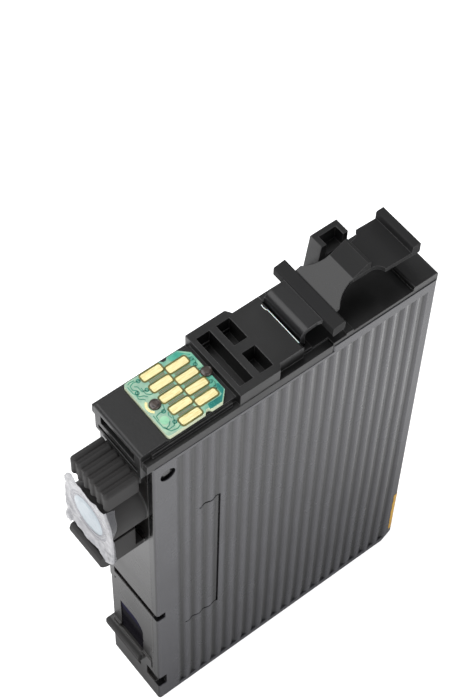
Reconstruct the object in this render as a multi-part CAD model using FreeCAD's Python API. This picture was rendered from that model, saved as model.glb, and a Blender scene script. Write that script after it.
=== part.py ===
import FreeCAD
import Part
import math
import os
from FreeCAD import Vector

# A slim single-ink cartridge that stands on its narrow base.
# X runs from the outlet end (-X) to the back end (+X), Y across the thin body
# with the ribbed cover on -Y, and Z up. The origin is the centre of the base.
# Places along X are distances from the outlet face unless the name says otherwise,
# and a drop or a rise is measured from the seam under the top moulding.

# Overall body, millimetres
body_length = 48.0
body_thickness = 12.0
seam_height = 72.0

# Walls of the tray and its cover
wall = 1.3
far_wall = 1.2
film_ledge = 0.7
cover_thickness = 1.2
film_gap = 0.3
film_thickness = 0.12
film_margin = 0.1
back_corner_chamfer = 2.0
edge_round = 0.4

# Ribbed cover
rib_pitch = 2.05
rib_groove_top = 1.75
rib_groove_bottom = 0.3
rib_depth = 0.23
rib_front_margin = 4.6
rib_back_margin = 2.8
rib_low = 1.0
rib_top_margin = 0.6
cover_step_rise = 1.2
label_x = (5.2, 11.3)
label_z = (21.0, 54.0)
label_return = 3.7
label_line = 0.3
label_depth = 0.5

# Plastic stake that pins the cover to the tray near its upper front corner
pin_at = 2.4
pin_drop = 3.3
pin_radius = 0.7
pin_fit = 0.05
pin_recess = 0.35
pin_dish_radius = 1.2
pin_dish_depth = 0.6
pin_web_half = 1.2
pin_web_thickness = 1.2
pin_web_gap = 0.1

# Lower half of the outlet face: belt groove, panel line, foot notch and marks
belt_low = 27.7
belt_high = 29.4
belt_wrap = 1.5
belt_depth = 0.75
belt_far_margin = 1.4
panel_low = 10.4
panel_high = 25.4
panel_recess = 0.35
panel_line = 0.3
panel_line_depth = 0.5
panel_top_line = 0.9
panel_near_margin = 0.75
foot_low = 4.3
foot_high = 7.4
foot_depth = 0.8
foot_width = 2.0
mark_low = 4.4
mark_height = 1.2
mark_width = 0.7
mark_places = (-0.9, 1.2, 3.3)
mark_depth = 0.5

# Ink-end sensor window in that panel, and the ledge under it
window_low = 9.8
window_high = 18.5
window_half_width = 2.8
window_centre_y = 1.2
window_corner = 2.6
prism_flange = 0.8
prism_clearance = 0.03
prism_recess = 0.15
prism_ridge_margin = 0.6
prism_ridge_low = 0.8
prism_ridge_top = 2.0
ledge_low = 7.6
ledge_height = 1.8
ledge_reach = 0.9
ledge_side = 0.6
ledge_round = 0.35

# Outlet on the -X face
outlet_drop = 13.1
outlet_reach = 6.3
outlet_radius = 4.6
foam_radius = 3.2
foam_clearance = 0.05
foam_length = 5.0
filter_thickness = 0.15
filter_margin = 0.1
filter_bed = 0.4
supply_hole_radius = 0.9
leaf_half_height = 2.7
leaf_flat = 0.9
leaf_foot = 0.5
leaf_thickness = 0.15
leaf_half_width = 0.9
seal_thickness = 0.12
seal_half_width = 5.1
seal_above = 6.0
seal_lip_gap = 0.1
seal_corner = 0.8

# Ribbed hood over the outlet, and the drip scoop under it
hood_gap = 1.7
hood_thickness = 3.4
hood_reach = 6.1
hood_half_width = 4.25
hood_ribs = 6
hood_groove = 0.35
hood_groove_depth = 0.38
hood_front_groove_depth = 0.28
hood_foot = 0.9
hood_back_gap = 1.6
hood_root_half = 3.2
hood_web_reach = 4.7
hood_web_half = 2.5
scoop_drop = 5.1
scoop_reach = 7.3
scoop_half_width = 3.5
scoop_wall = 0.9
scoop_lip_height = 3.2
scoop_side_start = 2.0
scoop_side_end = 1.4
scoop_cheek_drop = 0.35
scoop_web_half = 1.6
join = 0.4

# Top moulding, as rises above the seam
apron_reach = 1.1
apron_drop = 2.2
shelf_rise = 3.15
shelf_side_gap = 0.05
shelf_round = 0.5
seat_rise = 2.8
plate_rise = 4.0
rail_rise = 1.7
rail_side_gap = 0.05
ridge_rise = 2.45
ridge_width = 0.35
deck_rise = 2.0
deck_side_gap = 0.1
apron_mouth_half = 3.6
apron_mouth_rise = (0.3, 2.1)
apron_mouth_depth = 2.7
apron_gap_half = 4.2
apron_gap_drop = (1.5, 0.6)
apron_gap_depth = 0.75

# Slotted plate behind the board
plate_gap = 0.8
plate_side_gap = 0.15
plate_waist = 0.9
plate_waist_from_end = 4.7
plate_waist_slope = 0.6
plate_tongue = 0.35
plate_tongue_y = 2.6
plate_end_round = 0.3
slot_length = 2.2
slot_first = 0.8
slot_second = 4.1
slot_depth = 3.2
slot_half_width = 4.6
slot_bridge = 1.5

# Deck behind the plate, with its cross rib, end block and guard post
cross_rib_from_hinge = 5.9
cross_rib_length = 1.2
cross_rib_rise = 0.35
end_block_length = 4.4
end_block_rise = 0.7
end_block_round = 0.3
end_gap = 0.1
post_from_hinge = (9.0, 13.5)
post_rise = 8.6
post_width = 2.4
post_slope = 0.9
post_pocket_depth = 2.4
post_wall = 0.8

# Contact board
board_start = 3.4
board_length = 10.0
board_half_width = 4.85
board_thickness = 0.8
board_corner = 1.3
board_round = 0.5
board_seat_gap = 0.15
board_notch_at = 5.9
board_notch_length = 1.1
board_notch_depth = 0.35
stake_front = 1.5
stake_back_margin = 0.25
stake_pin_radius = 0.75
stake_clearance = 0.08
stake_height = 0.35
stake_bevel = 0.2
pad_pitch = 2.05
pad_length = 3.3
pad_width = 1.3
pad_round = 0.35
pad_thickness = 0.04
pad_rows = ((2.4, 5), (5.75, 4))
resin_at = 2.6
resin_size = (4.6, 5.2, 0.9)
resin_clearance = 0.15
resin_bevel = 0.3
resin_corner = 0.8

# Latch lever, as distances behind its hinge and heights above it
hinge_at = 26.0
hinge_rise = 2.35
bead_radius = 0.45
bead_clearance = 0.12
seat_rib_rise = 0.15
seat_rib_side = 0.9
plate_to_hinge = 0.6
strip_thickness = 0.75
strip_height = 3.3
strip_bend = 1.3
strip_half_width = 3.85
lever_tilt = 3.5
blade_start = 3.2
blade_half_width = 4.05
bar_from_hinge = (3.1, 5.1)
bar_top = (3.8, 4.1)
bar_depth = 1.7
bar_half_width = 6.2
bar_round = 0.25
waist_from_hinge = 8.9
waist_half_width = 2.45
fold_from_hinge = 9.3
fold_height = 5.55
block_end = 12.4
block_rise = 1.3
pad_start = 14.0
pad_half_width = 3.65
pad_height = 5.0
pad_corner = 0.5
lever_reach = 19.9
lip_length = 1.4
lip_half_width = 3.75
lip_drop = 0.65
lip_rise = 1.35
lip_round = 0.3
spine_half_width = 0.5
spine_depth = 0.6

# Ink chamber: inner walls, film side, pressure plate and its spring
divider_at = 10.0
divider_thickness = 0.8
divider_low = 6.0
sensor_room_top = 24.0
outlet_room_drop = 11.1
outlet_room_top_drop = 6.0
passage_across = (1.5, 4.0)
passage_size = 2.5
passage_at = 4.0
plate_thickness = 0.6
plate_film_gap = 0.1
plate_front_margin = 2.7
plate_back_margin = 5.0
plate_low = 8.0
plate_corner = 4.0
tab_height = 3.6
tab_width = 3.0
tab_gap = 1.2
spring_radius = 6.0
spring_wire = 0.5
spring_turns = 4.5
spring_seat_margin = 0.55
spring_boss_height = 1.0
spring_ring_wall = 0.8
spring_end_gap = 0.02
coil_closed_turns = 0.7
coil_steps = 16
coil_sides = 6

# Air valve in the upper back corner
valve_back_margin = 3.8
valve_length = 6.6
valve_drop = 3.0
valve_height = 10.2
valve_leg = 2.7
valve_leg_length = 1.0
valve_leg_height = 3.0
valve_plate = 0.9
valve_side = 0.7
valve_cheek_foot = 0.6
valve_film_gap = 0.4
valve_bridge = 0.8
valve_bridge_height = 3.6
valve_hole_radius = 0.6
valve_hole_drop = 1.9
valve_pivot_drop = 8.2
valve_pivot_radius = 0.5
pivot_clearance = 0.06
pivot_end_gap = 0.1
rocker_thickness = 1.1
rocker_gap = 0.12
rocker_side_gap = 0.15
rocker_half_width = 1.7
rocker_top_gap = 0.6
rocker_hub_half = 0.6
rocker_arm = 3.2
rocker_arm_half = 1.0
rocker_arm_relief = 0.3
rocker_seal_margin = 0.5
rocker_seal_gap = 0.02
valve_spring_radius = 1.1
valve_spring_wire = 0.25
valve_spring_turns = 4.5

# Air path on the hidden +Y face
path_left = 20.0
path_depth = 0.55
path_width = 0.8
path_film_recess = 0.12
path_film_margin = 1.6
path_film_corner = 1.5
path_runs = 6
path_run_pitch = 2.2
membrane_drop = 6.4
membrane_radius = 2.6
membrane_fit = 0.05
membrane_thickness = 0.2
vent_height = 8.45
vent_radius = 0.3
vent_hole_radius = 0.7
vent_film_gap = 2.2

# Vent tape round the lower back end
tape_height = 11.3
tape_thickness = 0.15
tape_wrap = 0.9

# Worked-out places
front = -body_length / 2
back = body_length / 2
near = -body_thickness / 2
far = body_thickness / 2
tray_rim = near + cover_thickness
film_rim = tray_rim + film_gap
tray_floor = far - far_wall
inner_inset = wall + film_ledge
outlet_z = seam_height - outlet_drop
outlet_mouth = front - outlet_reach
hood_low = outlet_z + outlet_radius + hood_gap
hood_high = hood_low + hood_thickness
scoop_low = outlet_z - outlet_radius - scoop_drop
scoop_nose = front - scoop_reach
shelf_top = seam_height + shelf_rise
seat_top = seam_height + seat_rise
board_top = seat_top + board_thickness
plate_top = seam_height + plate_rise
rail_top = seam_height + rail_rise
deck_top = seam_height + deck_rise
shelf_half_width = board_half_width + shelf_side_gap
board_end = board_start + board_length
plate_start = board_end + plate_gap
plate_end = hinge_at - plate_to_hinge
rail_end = hinge_at + bar_from_hinge[1] - 1.5
hinge_x = front + hinge_at
hinge_z = seam_height + hinge_rise
divider_x = (front + divider_at, front + divider_at + divider_thickness)
outlet_room_low = outlet_z - outlet_room_drop
outlet_room_top = seam_height - outlet_room_top_drop
valve_x = (back - valve_back_margin - valve_length, back - valve_back_margin)
valve_top = seam_height - valve_drop
valve_z = (valve_top - valve_height, valve_top)
valve_centre_x = (valve_x[0] + valve_x[1]) / 2
valve_plate_y = tray_floor - valve_leg - valve_plate
valve_hole_z = valve_top - valve_hole_drop
valve_pivot_z = valve_top - valve_pivot_drop
rocker_y = (valve_plate_y - rocker_gap - rocker_thickness, valve_plate_y - rocker_gap)
valve_pivot_y = (rocker_y[0] + rocker_y[1]) / 2
bridge_y = (film_rim + valve_film_gap, film_rim + valve_film_gap + valve_bridge)
plate_y = (film_rim + plate_film_gap, film_rim + plate_film_gap + plate_thickness)
plate_x = (divider_x[1] + plate_front_margin, back - plate_back_margin)
plate_z = (plate_low, valve_z[0] - tab_gap - tab_height)
plate_centre_x = (plate_x[0] + plate_x[1]) / 2
plate_centre_z = (plate_z[0] + plate_z[1]) / 2
spring_seat_radius = spring_radius - spring_wire / 2 - spring_seat_margin
membrane_z = seam_height - membrane_drop
path_floor = far - path_film_recess - path_depth


def block(x, y, z):
    """A box from three (low, high) pairs, in the part's own frame."""
    size = (x[1] - x[0], y[1] - y[0], z[1] - z[0])
    return Part.makeBox(*size, Vector(x[0], y[0], z[0]))


def from_front(low, high):
    """A (low, high) pair along X, measured from the outlet face."""
    return (front + low, front + high)


def across(half):
    """A (low, high) pair about the middle of the body's thickness."""
    return (-half, half)


def rod(radius, start, end):
    """A round bar between two points."""
    start, end = Vector(*start), Vector(*end)
    return Part.makeCylinder(radius, (end - start).Length, start, end - start)


def wire_from(steps, lift):
    """A closed wire. A step is a corner (a, b), or an arc (mid a, mid b, a, b)."""
    edges = []
    here = lift(*steps[-1][-2:])
    for step in steps:
        there = lift(*step[-2:])
        if len(step) == 4:
            edges.append(Part.Arc(here, lift(*step[:2]), there).toShape())
        else:
            edges.append(Part.LineSegment(here, there).toShape())
        here = there
    return Part.Wire(edges)


def side_slab(steps, y):
    """An outline drawn in X and Z, thickened from y[0] to y[1]."""
    face = Part.Face(wire_from(steps, lambda a, b: Vector(a, y[0], b)))
    return face.extrude(Vector(0, y[1] - y[0], 0))


def top_slab(steps, z):
    """An outline drawn in X and Y, thickened from z[0] to z[1]."""
    face = Part.Face(wire_from(steps, lambda a, b: Vector(a, b, z[0])))
    return face.extrude(Vector(0, 0, z[1] - z[0]))


def end_slab(steps, x):
    """An outline drawn in Y and Z, thickened from x[0] to x[1]."""
    face = Part.Face(wire_from(steps, lambda a, b: Vector(x[0], a, b)))
    return face.extrude(Vector(x[1] - x[0], 0, 0))


def edges_along(shape, direction, keep=lambda centre: True):
    """Straight edges parallel to a direction whose centre passes a test."""
    found = []
    for edge in shape.Edges:
        if len(edge.Vertexes) != 2 or edge.Curve.TypeId != "Part::GeomLine":
            continue
        along = edge.Vertexes[1].Point - edge.Vertexes[0].Point
        if along.cross(direction).Length < 1e-6 * along.Length and keep(edge.CenterOfMass):
            found.append(edge)
    return found


def rounded(shape, direction, radius, keep=lambda centre: True):
    """The shape with its chosen straight edges rounded."""
    return shape.makeFillet(radius, edges_along(shape, direction, keep))


def union(first, *others):
    """One solid from pieces that touch or overlap."""
    return first.multiFuse(list(others)).removeSplitter()


def cut_all(shape, cutters):
    """The shape with every cutter taken out of it."""
    for cutter in cutters:
        shape = shape.cut(cutter)
    return shape


def body_outline(inset):
    """The body's side outline in X and Z, drawn in by an inset."""
    tail = back - inset
    corner = back_corner_chamfer - inset * math.tan(math.radians(22.5))
    return [(front + inset, inset), (tail - corner, inset), (tail, inset + corner),
            (tail, seam_height - inset), (front + inset, seam_height - inset)]


def coil(radius, wire, turns, length):
    """A compression spring along +Z with closed ends, lofted round its helix."""
    steps = int(round(turns * coil_steps))
    active = turns - 2 * coil_closed_turns
    pitch = (length - wire) / active
    rings = []
    for i in range(steps + 1):
        turn = turns * i / steps
        rise = min(max(turn - coil_closed_turns, 0.0), active) * pitch
        outward = Vector(math.cos(2 * math.pi * turn), math.sin(2 * math.pi * turn), 0)
        ring = []
        for k in range(coil_sides):
            around = 2 * math.pi * k / coil_sides
            reach = radius + wire / 2 * math.cos(around)
            ring.append(outward * reach + Vector(0, 0, rise + wire / 2 * (1 + math.sin(around))))
        rings.append(Part.makePolygon(ring + ring[:1]))
    return Part.makeLoft(rings, True, True)


def aim_y(shape, place):
    """A shape built along +Z, turned to run along +Y from a place."""
    shape.rotate(Vector(0, 0, 0), Vector(1, 0, 0), -90)
    shape.translate(Vector(*place))
    return shape


def bent_sheet(points, thickness):
    """A closed outline of a bent sheet: the top line, then its parallel underside."""
    under = []
    for i, here in enumerate(points):
        before = points[max(i - 1, 0)]
        after = points[min(i + 1, len(points) - 1)]
        before_angle = math.atan2(here[1] - before[1], here[0] - before[0])
        after_angle = math.atan2(after[1] - here[1], after[0] - here[0])
        if i == 0:
            before_angle = after_angle
        if i == len(points) - 1:
            after_angle = before_angle
        middle = (before_angle + after_angle) / 2
        reach = thickness / math.cos((after_angle - before_angle) / 2)
        under.append((here[0] + reach * math.sin(middle), here[1] - reach * math.cos(middle)))
    return points + under[::-1]


# Outlet, its hood and its drip scoop

def outlet_tube():
    """The round outlet, solid until its bores are cut."""
    tube = rod(outlet_radius, (outlet_mouth, 0, outlet_z), (front, 0, outlet_z))
    root = rod(outlet_radius, (front, 0, outlet_z), (front + wall, 0, outlet_z))
    return tube.fuse(root.common(block((front, front + wall), (tray_rim, far), (0, seam_height))))


def outlet_bores():
    """What is cut out of the tube and wall: the foam's room and the supply hole."""
    foam_room = rod(foam_radius + foam_clearance, (outlet_mouth - 1, 0, outlet_z),
                    (front + filter_bed, 0, outlet_z))
    supply = rod(supply_hole_radius, (front, 0, outlet_z), (front + inner_inset + 1, 0, outlet_z))
    return foam_room.fuse(supply)


def hood_rib(y, width):
    """One half-round rib that runs out along the top and turns down the front."""
    radius = width / 2
    nose = front - hood_reach + radius
    crown = hood_high - radius
    root = front - hood_foot
    along = rod(radius, (nose, y, crown), (root, y, crown))
    down = rod(radius, (nose, y, hood_low), (nose, y, crown))
    knee = Part.makeSphere(radius, Vector(nose, y, crown))
    core = block((nose, root), (y - radius, y + radius), (hood_low, crown))
    return union(core, along, down, knee)


def outlet_hood():
    """Ribbed hood over the outlet: a core with half-round ribs, and its web."""
    pitch = 2 * hood_half_width / hood_ribs
    ribs = []
    for i in range(hood_ribs):
        ribs.append(hood_rib(-hood_half_width + (i + 0.5) * pitch, pitch - hood_groove))
    core_x = (front - hood_reach + hood_front_groove_depth, front - hood_back_gap)
    core_half = hood_half_width - hood_groove / 2
    core_z = (hood_low, hood_high - hood_groove_depth)
    core = block(core_x, across(core_half), core_z)
    core = rounded(core, Vector(1, 0, 0), hood_groove_depth, lambda c: c.z > hood_low + 1)
    root = block((core_x[1] - join, front), across(hood_root_half), core_z)
    web = block((front - hood_web_reach, front), across(hood_web_half),
                (outlet_z + outlet_radius * 0.8, hood_low + join))
    return union(core, root, web, *ribs)


def drip_scoop():
    """Open scoop under the outlet with a curled front lip and two side walls."""
    low, top = scoop_low, scoop_low + scoop_wall
    lip = low + scoop_lip_height
    nose = scoop_nose
    profile = [
        (front + wall / 2, low), (front + wall / 2, top), (nose + 2.4 * scoop_wall, top),
        (nose + 1.3 * scoop_wall, top + 0.35, nose + scoop_wall, lip - 0.2),
        (nose + 0.5 * scoop_wall, lip, nose, lip - 0.5),
        (nose + 0.5 * scoop_wall, low + 0.55, nose + 2 * scoop_wall, low),
    ]
    floor = side_slab(profile, across(scoop_half_width))
    side_top = outlet_z - outlet_radius + join
    side_x = (nose + scoop_side_start, front - scoop_side_end)
    sides = []
    for y in (-scoop_half_width, scoop_half_width - scoop_wall):
        sides.append(block(side_x, (y, y + scoop_wall), (low + scoop_wall / 2, side_top)))
        sides.append(block((nose + scoop_wall / 2, side_x[0] + join), (y, y + scoop_wall),
                           (low + scoop_wall, lip - scoop_cheek_drop)))
    web = block((front - scoop_side_end, front + wall / 2), across(scoop_web_half),
                (low + scoop_wall / 2, side_top))
    return union(floor, *sides, web)


# Lower half of the outlet face

def window_outline(grow=0.0):
    """Sensor window outline in Y and Z: one upper corner is a large arc."""
    low_y = window_centre_y - window_half_width - grow
    high_y = window_centre_y + window_half_width + grow
    low, high = window_low - grow, window_high + grow
    r = window_corner
    k = r * (1 - math.sqrt(0.5))
    return [(low_y, low), (high_y, low), (high_y, high), (low_y + r, high),
            (low_y + k, high - k, low_y, high - r)]


def face_cuts():
    """Panel, panel lines, belt groove, foot notch and marks in the outlet face."""
    outside = front - 1
    panel_y = tray_rim + panel_near_margin
    line_top = panel_high + panel_top_line
    cuts = [
        block((outside, front + panel_recess), (panel_y, far + 1), (panel_low, panel_high)),
        block((outside, front + panel_line_depth), (panel_y - panel_line, panel_y), (ledge_low + 1, line_top)),
        block((outside, front + panel_line_depth), (panel_y - panel_line, far - belt_far_margin),
              (panel_high, line_top)),
        block((outside, front + belt_depth), (tray_rim - 1, far - belt_far_margin), (belt_low, belt_high)),
        block((outside, front + foot_depth), (tray_rim - 1, tray_rim + foot_width), (foot_low, foot_high)),
    ]
    for y in mark_places:
        mark_y = (y - mark_width / 2, y + mark_width / 2)
        cuts.append(block((outside, front + mark_depth), mark_y, (mark_low, mark_low + mark_height)))
    return cuts


def window_cuts():
    """The window and the seat for the prism's flange behind it."""
    window = end_slab(window_outline(), (front - 1, front + inner_inset + 1))
    seat = end_slab(window_outline(prism_flange), (front + wall, front + inner_inset + 1))
    return [window, seat]


def face_ledge():
    """The ledge under the window, which reaches past the far face."""
    low_y = window_centre_y - window_half_width - 0.2
    ledge = block((front - ledge_reach, front + wall), (low_y, far + ledge_side),
                  (ledge_low, ledge_low + ledge_height))
    return rounded(ledge, Vector(0, 1, 0), ledge_round, lambda c: c.x < front)


# Inner walls and the air path

def divider_walls():
    """Inner walls that part the ink chamber from the outlet and sensor rooms."""
    y = (film_rim, tray_floor)
    shelf_x = (front + wall, divider_x[1])
    walls = [block(divider_x, y, (divider_low, outlet_room_top + divider_thickness))]
    for low in (sensor_room_top, outlet_room_low - divider_thickness, outlet_room_top):
        walls.append(block(shelf_x, y, (low, low + divider_thickness)))
    pocket_x = (valve_x[0] - 2 * divider_thickness, valve_x[0] - divider_thickness)
    walls.append(block(pocket_x, y, (valve_z[0] - tab_gap, seam_height - wall)))
    return walls


def divider_passages():
    """The small openings through which ink passes from room to room."""
    y = (film_rim + passage_across[0], film_rim + passage_across[1])
    through_upright = (divider_x[0] - 1, divider_x[1] + 1)
    through_shelf = from_front(passage_at, passage_at + passage_size)
    cuts = []
    for low in (outlet_room_low + divider_thickness, divider_low + passage_size):
        cuts.append(block(through_upright, y, (low, low + passage_size)))
    for low in (outlet_room_low - divider_thickness, sensor_room_top):
        cuts.append(block(through_shelf, y, (low - 1, low + divider_thickness + 1)))
    return cuts


def spring_boss():
    """A round seat on the tray's floor that keeps the plate spring in place."""
    return rod(spring_seat_radius, (plate_centre_x, tray_floor - spring_boss_height, plate_centre_z),
               (plate_centre_x, tray_floor + far_wall / 2, plate_centre_z))


def air_path_cuts():
    """The vent's way: membrane pocket, winding groove and vent hole."""
    x, z = valve_centre_x, membrane_z
    groove_y = (path_floor, far + 1)
    half = path_width / 2
    left, right = front + path_left, x
    cuts = [rod(membrane_radius, (x, path_floor, z), (x, far + 1, z)),
            rod(vent_hole_radius, (x, tray_floor - 1, z), (x, path_floor + half, z))]
    for i in range(path_runs):
        run_z = z - i * path_run_pitch
        cuts.append(block((left, right), groove_y, (run_z - half, run_z + half)))
        if i < path_runs - 1:
            turn = left if i % 2 == 0 else right - path_width
            cuts.append(block((turn, turn + path_width), groove_y, (run_z - path_run_pitch - half, run_z + half)))
    last = z - (path_runs - 1) * path_run_pitch
    drop_x = right - path_width
    cuts.append(block((drop_x, right), groove_y, (vent_height, last)))
    cuts.append(block((drop_x, back - vent_film_gap), groove_y, (vent_height - half, vent_height + half)))
    hole_y = path_floor + path_depth / 2
    cuts.append(rod(vent_radius, (back - vent_film_gap - 0.3, hole_y, vent_height), (back + 1, hole_y, vent_height)))
    return cuts


def path_film_sheet():
    """The film over the winding groove, in a shallow recess of the +Y face."""
    x = (front + path_left - path_film_margin, back - back_corner_chamfer)
    z = (vent_height - path_film_margin, membrane_z + membrane_radius + path_film_margin)
    sheet = block(x, (far - path_film_recess, far), z)
    return rounded(sheet, Vector(0, 1, 0), path_film_corner)


def pin_web(grow=0.0):
    """The corner block that carries the pin through the cover."""
    half = pin_web_half + grow
    z = (seam_height - pin_drop - half, seam_height - wall / 2)
    return block(from_front(wall / 2, pin_at + half), (tray_rim, tray_rim + pin_web_thickness), z)


def case_tray():
    """The open tray: outer walls, inner walls, outlet, window seat and air path."""
    outer = side_slab(body_outline(0), (tray_rim, far))
    outer = rounded(outer, Vector(0, 0, 1), edge_round, lambda c: c.y > far - edge_round)
    rim_room = side_slab(body_outline(wall), (tray_rim - 1, film_rim))
    ink_room = side_slab(body_outline(inner_inset), (film_rim - 1, tray_floor))
    tray = union(outer.cut(rim_room).cut(ink_room), *divider_walls(), spring_boss())
    tray = cut_all(tray, divider_passages())
    tray = union(tray, outlet_tube(), outlet_hood(), drip_scoop()).cut(outlet_bores())
    tray = cut_all(tray, window_cuts() + face_cuts())
    pin_x, pin_z = front + pin_at, seam_height - pin_drop
    pin = rod(pin_radius, (pin_x, near + pin_recess, pin_z), (pin_x, tray_rim + pin_web_thickness / 2, pin_z))
    tray = union(tray, face_ledge(), pin, pin_web())
    return cut_all(tray, [path_film_sheet()] + air_path_cuts())


# Ribbed side cover

def cover_outline():
    """Side outline of the cover: its top edge steps up behind the guide rail."""
    step = front + rail_end + end_gap
    top = seam_height + cover_step_rise
    cut = back_corner_chamfer
    return [(front, 0), (back - cut, 0), (back, cut), (back, top), (step, top),
            (step, seam_height), (front, seam_height)]


def rib_grooves():
    """Shallow tapered grooves that leave the ribs standing."""
    wide, slim = rib_groove_top / 2, rib_groove_bottom / 2
    count = int((body_length - rib_back_margin - rib_front_margin) / rib_pitch + 1.5)
    grooves = []
    for i in range(count):
        centre = front + rib_front_margin + i * rib_pitch
        steps = [(centre - wide, near - 0.01), (centre + wide, near - 0.01),
                 (centre + slim, near + rib_depth), (centre - slim, near + rib_depth)]
        grooves.append(top_slab(steps, (rib_low, seam_height - rib_top_margin)))
    return grooves


def label_frame():
    """The open line frame round the bare label place: foot, side and a short return."""
    y = (near - 1, near + label_depth)
    (left, right), (low, high) = from_front(*label_x), label_z
    return [block((right - label_line, right), y, (low, high)), block((left, right), y, (low, low + label_line)),
            block((right - label_return, right), y, (high - label_line, high))]


def side_cover():
    """The ribbed lid welded to the open side of the tray."""
    cover = side_slab(cover_outline(), (near, tray_rim))
    cover = rounded(cover, Vector(0, 0, 1), edge_round, lambda c: c.y < near + edge_round)
    cover = cover.cut(Part.makeCompound(rib_grooves()))
    cuts = label_frame()
    for low, high in ((belt_low, belt_high), (foot_low, foot_high)):
        cuts.append(block((front - 1, front + belt_wrap), (near - 1, tray_rim + 1), (low, high)))
    x, z = front + pin_at, seam_height - pin_drop
    cuts.append(rod(pin_dish_radius, (x, near - 1, z), (x, near + pin_dish_depth, z)))
    cuts.append(rod(pin_radius + pin_fit, (x, near, z), (x, tray_rim + 1, z)))
    return cut_all(cover, cuts)


# Top moulding

def shelf_and_apron():
    """The chip shelf with its apron that hangs over the outlet face."""
    half = shelf_half_width
    shelf = block((front - apron_reach, front + plate_start + join), across(half), (seam_height, shelf_top))
    apron = block((front - apron_reach, front), across(half), (seam_height - apron_drop, shelf_top))
    shelf = rounded(union(shelf, apron), Vector(0, 1, 0), shelf_round,
                    lambda c: c.x < front - apron_reach / 2 and c.z > shelf_top - shelf_round)
    outside = front - apron_reach - 1
    mouth = block((outside, front - apron_reach + apron_mouth_depth), across(apron_mouth_half),
                  (seam_height + apron_mouth_rise[0], seam_height + apron_mouth_rise[1]))
    gap = block((outside, front - apron_reach + apron_gap_depth), across(apron_gap_half),
                (seam_height - apron_gap_drop[0], seam_height - apron_gap_drop[1]))
    return shelf.cut(mouth).cut(gap)


def rails():
    """Stepped guide rails along both long edges of the top."""
    pieces = []
    for side in (-1, 1):
        inner, outer = side * (shelf_half_width - join), side * (far - rail_side_gap)
        mid = side * (shelf_half_width + ridge_width)
        pieces.append(block((front - apron_reach + 0.3, front + rail_end), sorted((inner, outer)),
                            (seam_height, rail_top)))
        pieces.append(block(from_front(0.6, plate_start - 0.8), sorted((inner, mid)),
                            (rail_top - join, seam_height + ridge_rise)))
    return pieces


def top_plate():
    """The flat plate behind the board, with its slots, drawn in towards the latch."""
    wide = far - plate_side_gap
    slim = wide - plate_waist
    waist = plate_end - plate_waist_from_end
    start, waist_x, end = front + plate_start, front + waist, front + plate_end
    tongue = end + plate_tongue
    steps = [(start, -wide), (waist_x, -wide), (waist_x + plate_waist_slope, -slim), (end, -slim),
             (end, plate_tongue_y), (tongue, plate_tongue_y), (tongue, slim),
             (waist_x + plate_waist_slope, slim), (waist_x, wide), (start, wide)]
    plate = top_slab(steps, (seam_height, plate_top))
    plate = rounded(plate, Vector(0, 1, 0), plate_end_round, lambda c: c.x > end - 0.01 and c.z > plate_top - 0.01)
    z = (plate_top - slot_depth, plate_top + 1)
    long_x = from_front(plate_start + slot_first, plate_start + slot_first + slot_length)
    short_x = from_front(plate_start + slot_second, plate_start + slot_second + slot_length)
    cuts = [block(long_x, across(slot_half_width), z)]
    for y in ((-slot_half_width, -slot_bridge / 2), (slot_bridge / 2, slot_half_width)):
        cuts.append(block(short_x, y, z))
    return cut_all(plate, cuts)


def deck():
    """The lower deck under the lever, stepped over the cover's raised edge."""
    start, end = front + plate_end - join, back - end_gap
    over_y = (near + deck_side_gap, far - deck_side_gap)
    inner = block((start, end), (tray_rim + end_gap, far), (seam_height, deck_top))
    over = block((front + rail_end + end_gap, end), (over_y[0], tray_rim + 1),
                 (seam_height + cover_step_rise, deck_top))
    rail = block((start, front + rail_end), (near + rail_side_gap, tray_rim + 1), (seam_height, rail_top))
    end_block = block((back - end_block_length, end), over_y, (deck_top - join, deck_top + end_block_rise))
    end_block = rounded(end_block, Vector(0, 1, 0), end_block_round, lambda c: c.z > deck_top)
    rib_x = (hinge_x + cross_rib_from_hinge, hinge_x + cross_rib_from_hinge + cross_rib_length)
    cross_rib = block(rib_x, over_y, (deck_top - join, deck_top + cross_rib_rise))
    return [inner, over, rail, end_block, cross_rib]


def hinge_seat():
    """A low rib across the deck in which the lever's root bead turns."""
    half_length = bead_radius + bead_clearance + 0.35
    half = strip_half_width + seat_rib_side
    return block((hinge_x - half_length, hinge_x + half_length), across(half),
                 (deck_top - join, hinge_z + seat_rib_rise))


def hinge_channel():
    """The channel's cut, a clearance larger than the bead, open at the top."""
    radius = bead_radius + bead_clearance
    half = strip_half_width + bead_clearance
    tunnel = rod(radius, (hinge_x, -half, hinge_z), (hinge_x, half, hinge_z))
    mouth = block((hinge_x - radius, hinge_x + radius), across(half), (hinge_z, hinge_z + 3))
    return tunnel.fuse(mouth)


def guard_post():
    """The square post beside the lever, with a pocket that opens towards it."""
    low_x, high_x = hinge_x + post_from_hinge[0], hinge_x + post_from_hinge[1]
    low_y, top = far - post_width, seam_height + post_rise
    steps = [(low_x - post_slope, deck_top - join), (high_x, deck_top - join), (high_x, top), (low_x, top)]
    post = side_slab(steps, (low_y, far))
    pocket = block((low_x + post_wall, high_x - post_wall), (low_y - 1, far - post_wall),
                   (top - post_pocket_depth, top + 1))
    return post.cut(pocket)


def board_stakes():
    """The two melted stakes that hold the contact board."""
    top = board_top + stake_height
    stakes = []
    for along in (stake_front, board_length - stake_back_margin):
        x = front + board_start + along
        pin = rod(stake_pin_radius, (x, 0, seam_height + 1), (x, 0, top))
        rim = [edge for edge in pin.Edges if edge.CenterOfMass.z > top - 0.01 and len(edge.Vertexes) == 1]
        stakes.append(pin.makeChamfer(stake_bevel, rim))
    return stakes


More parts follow.
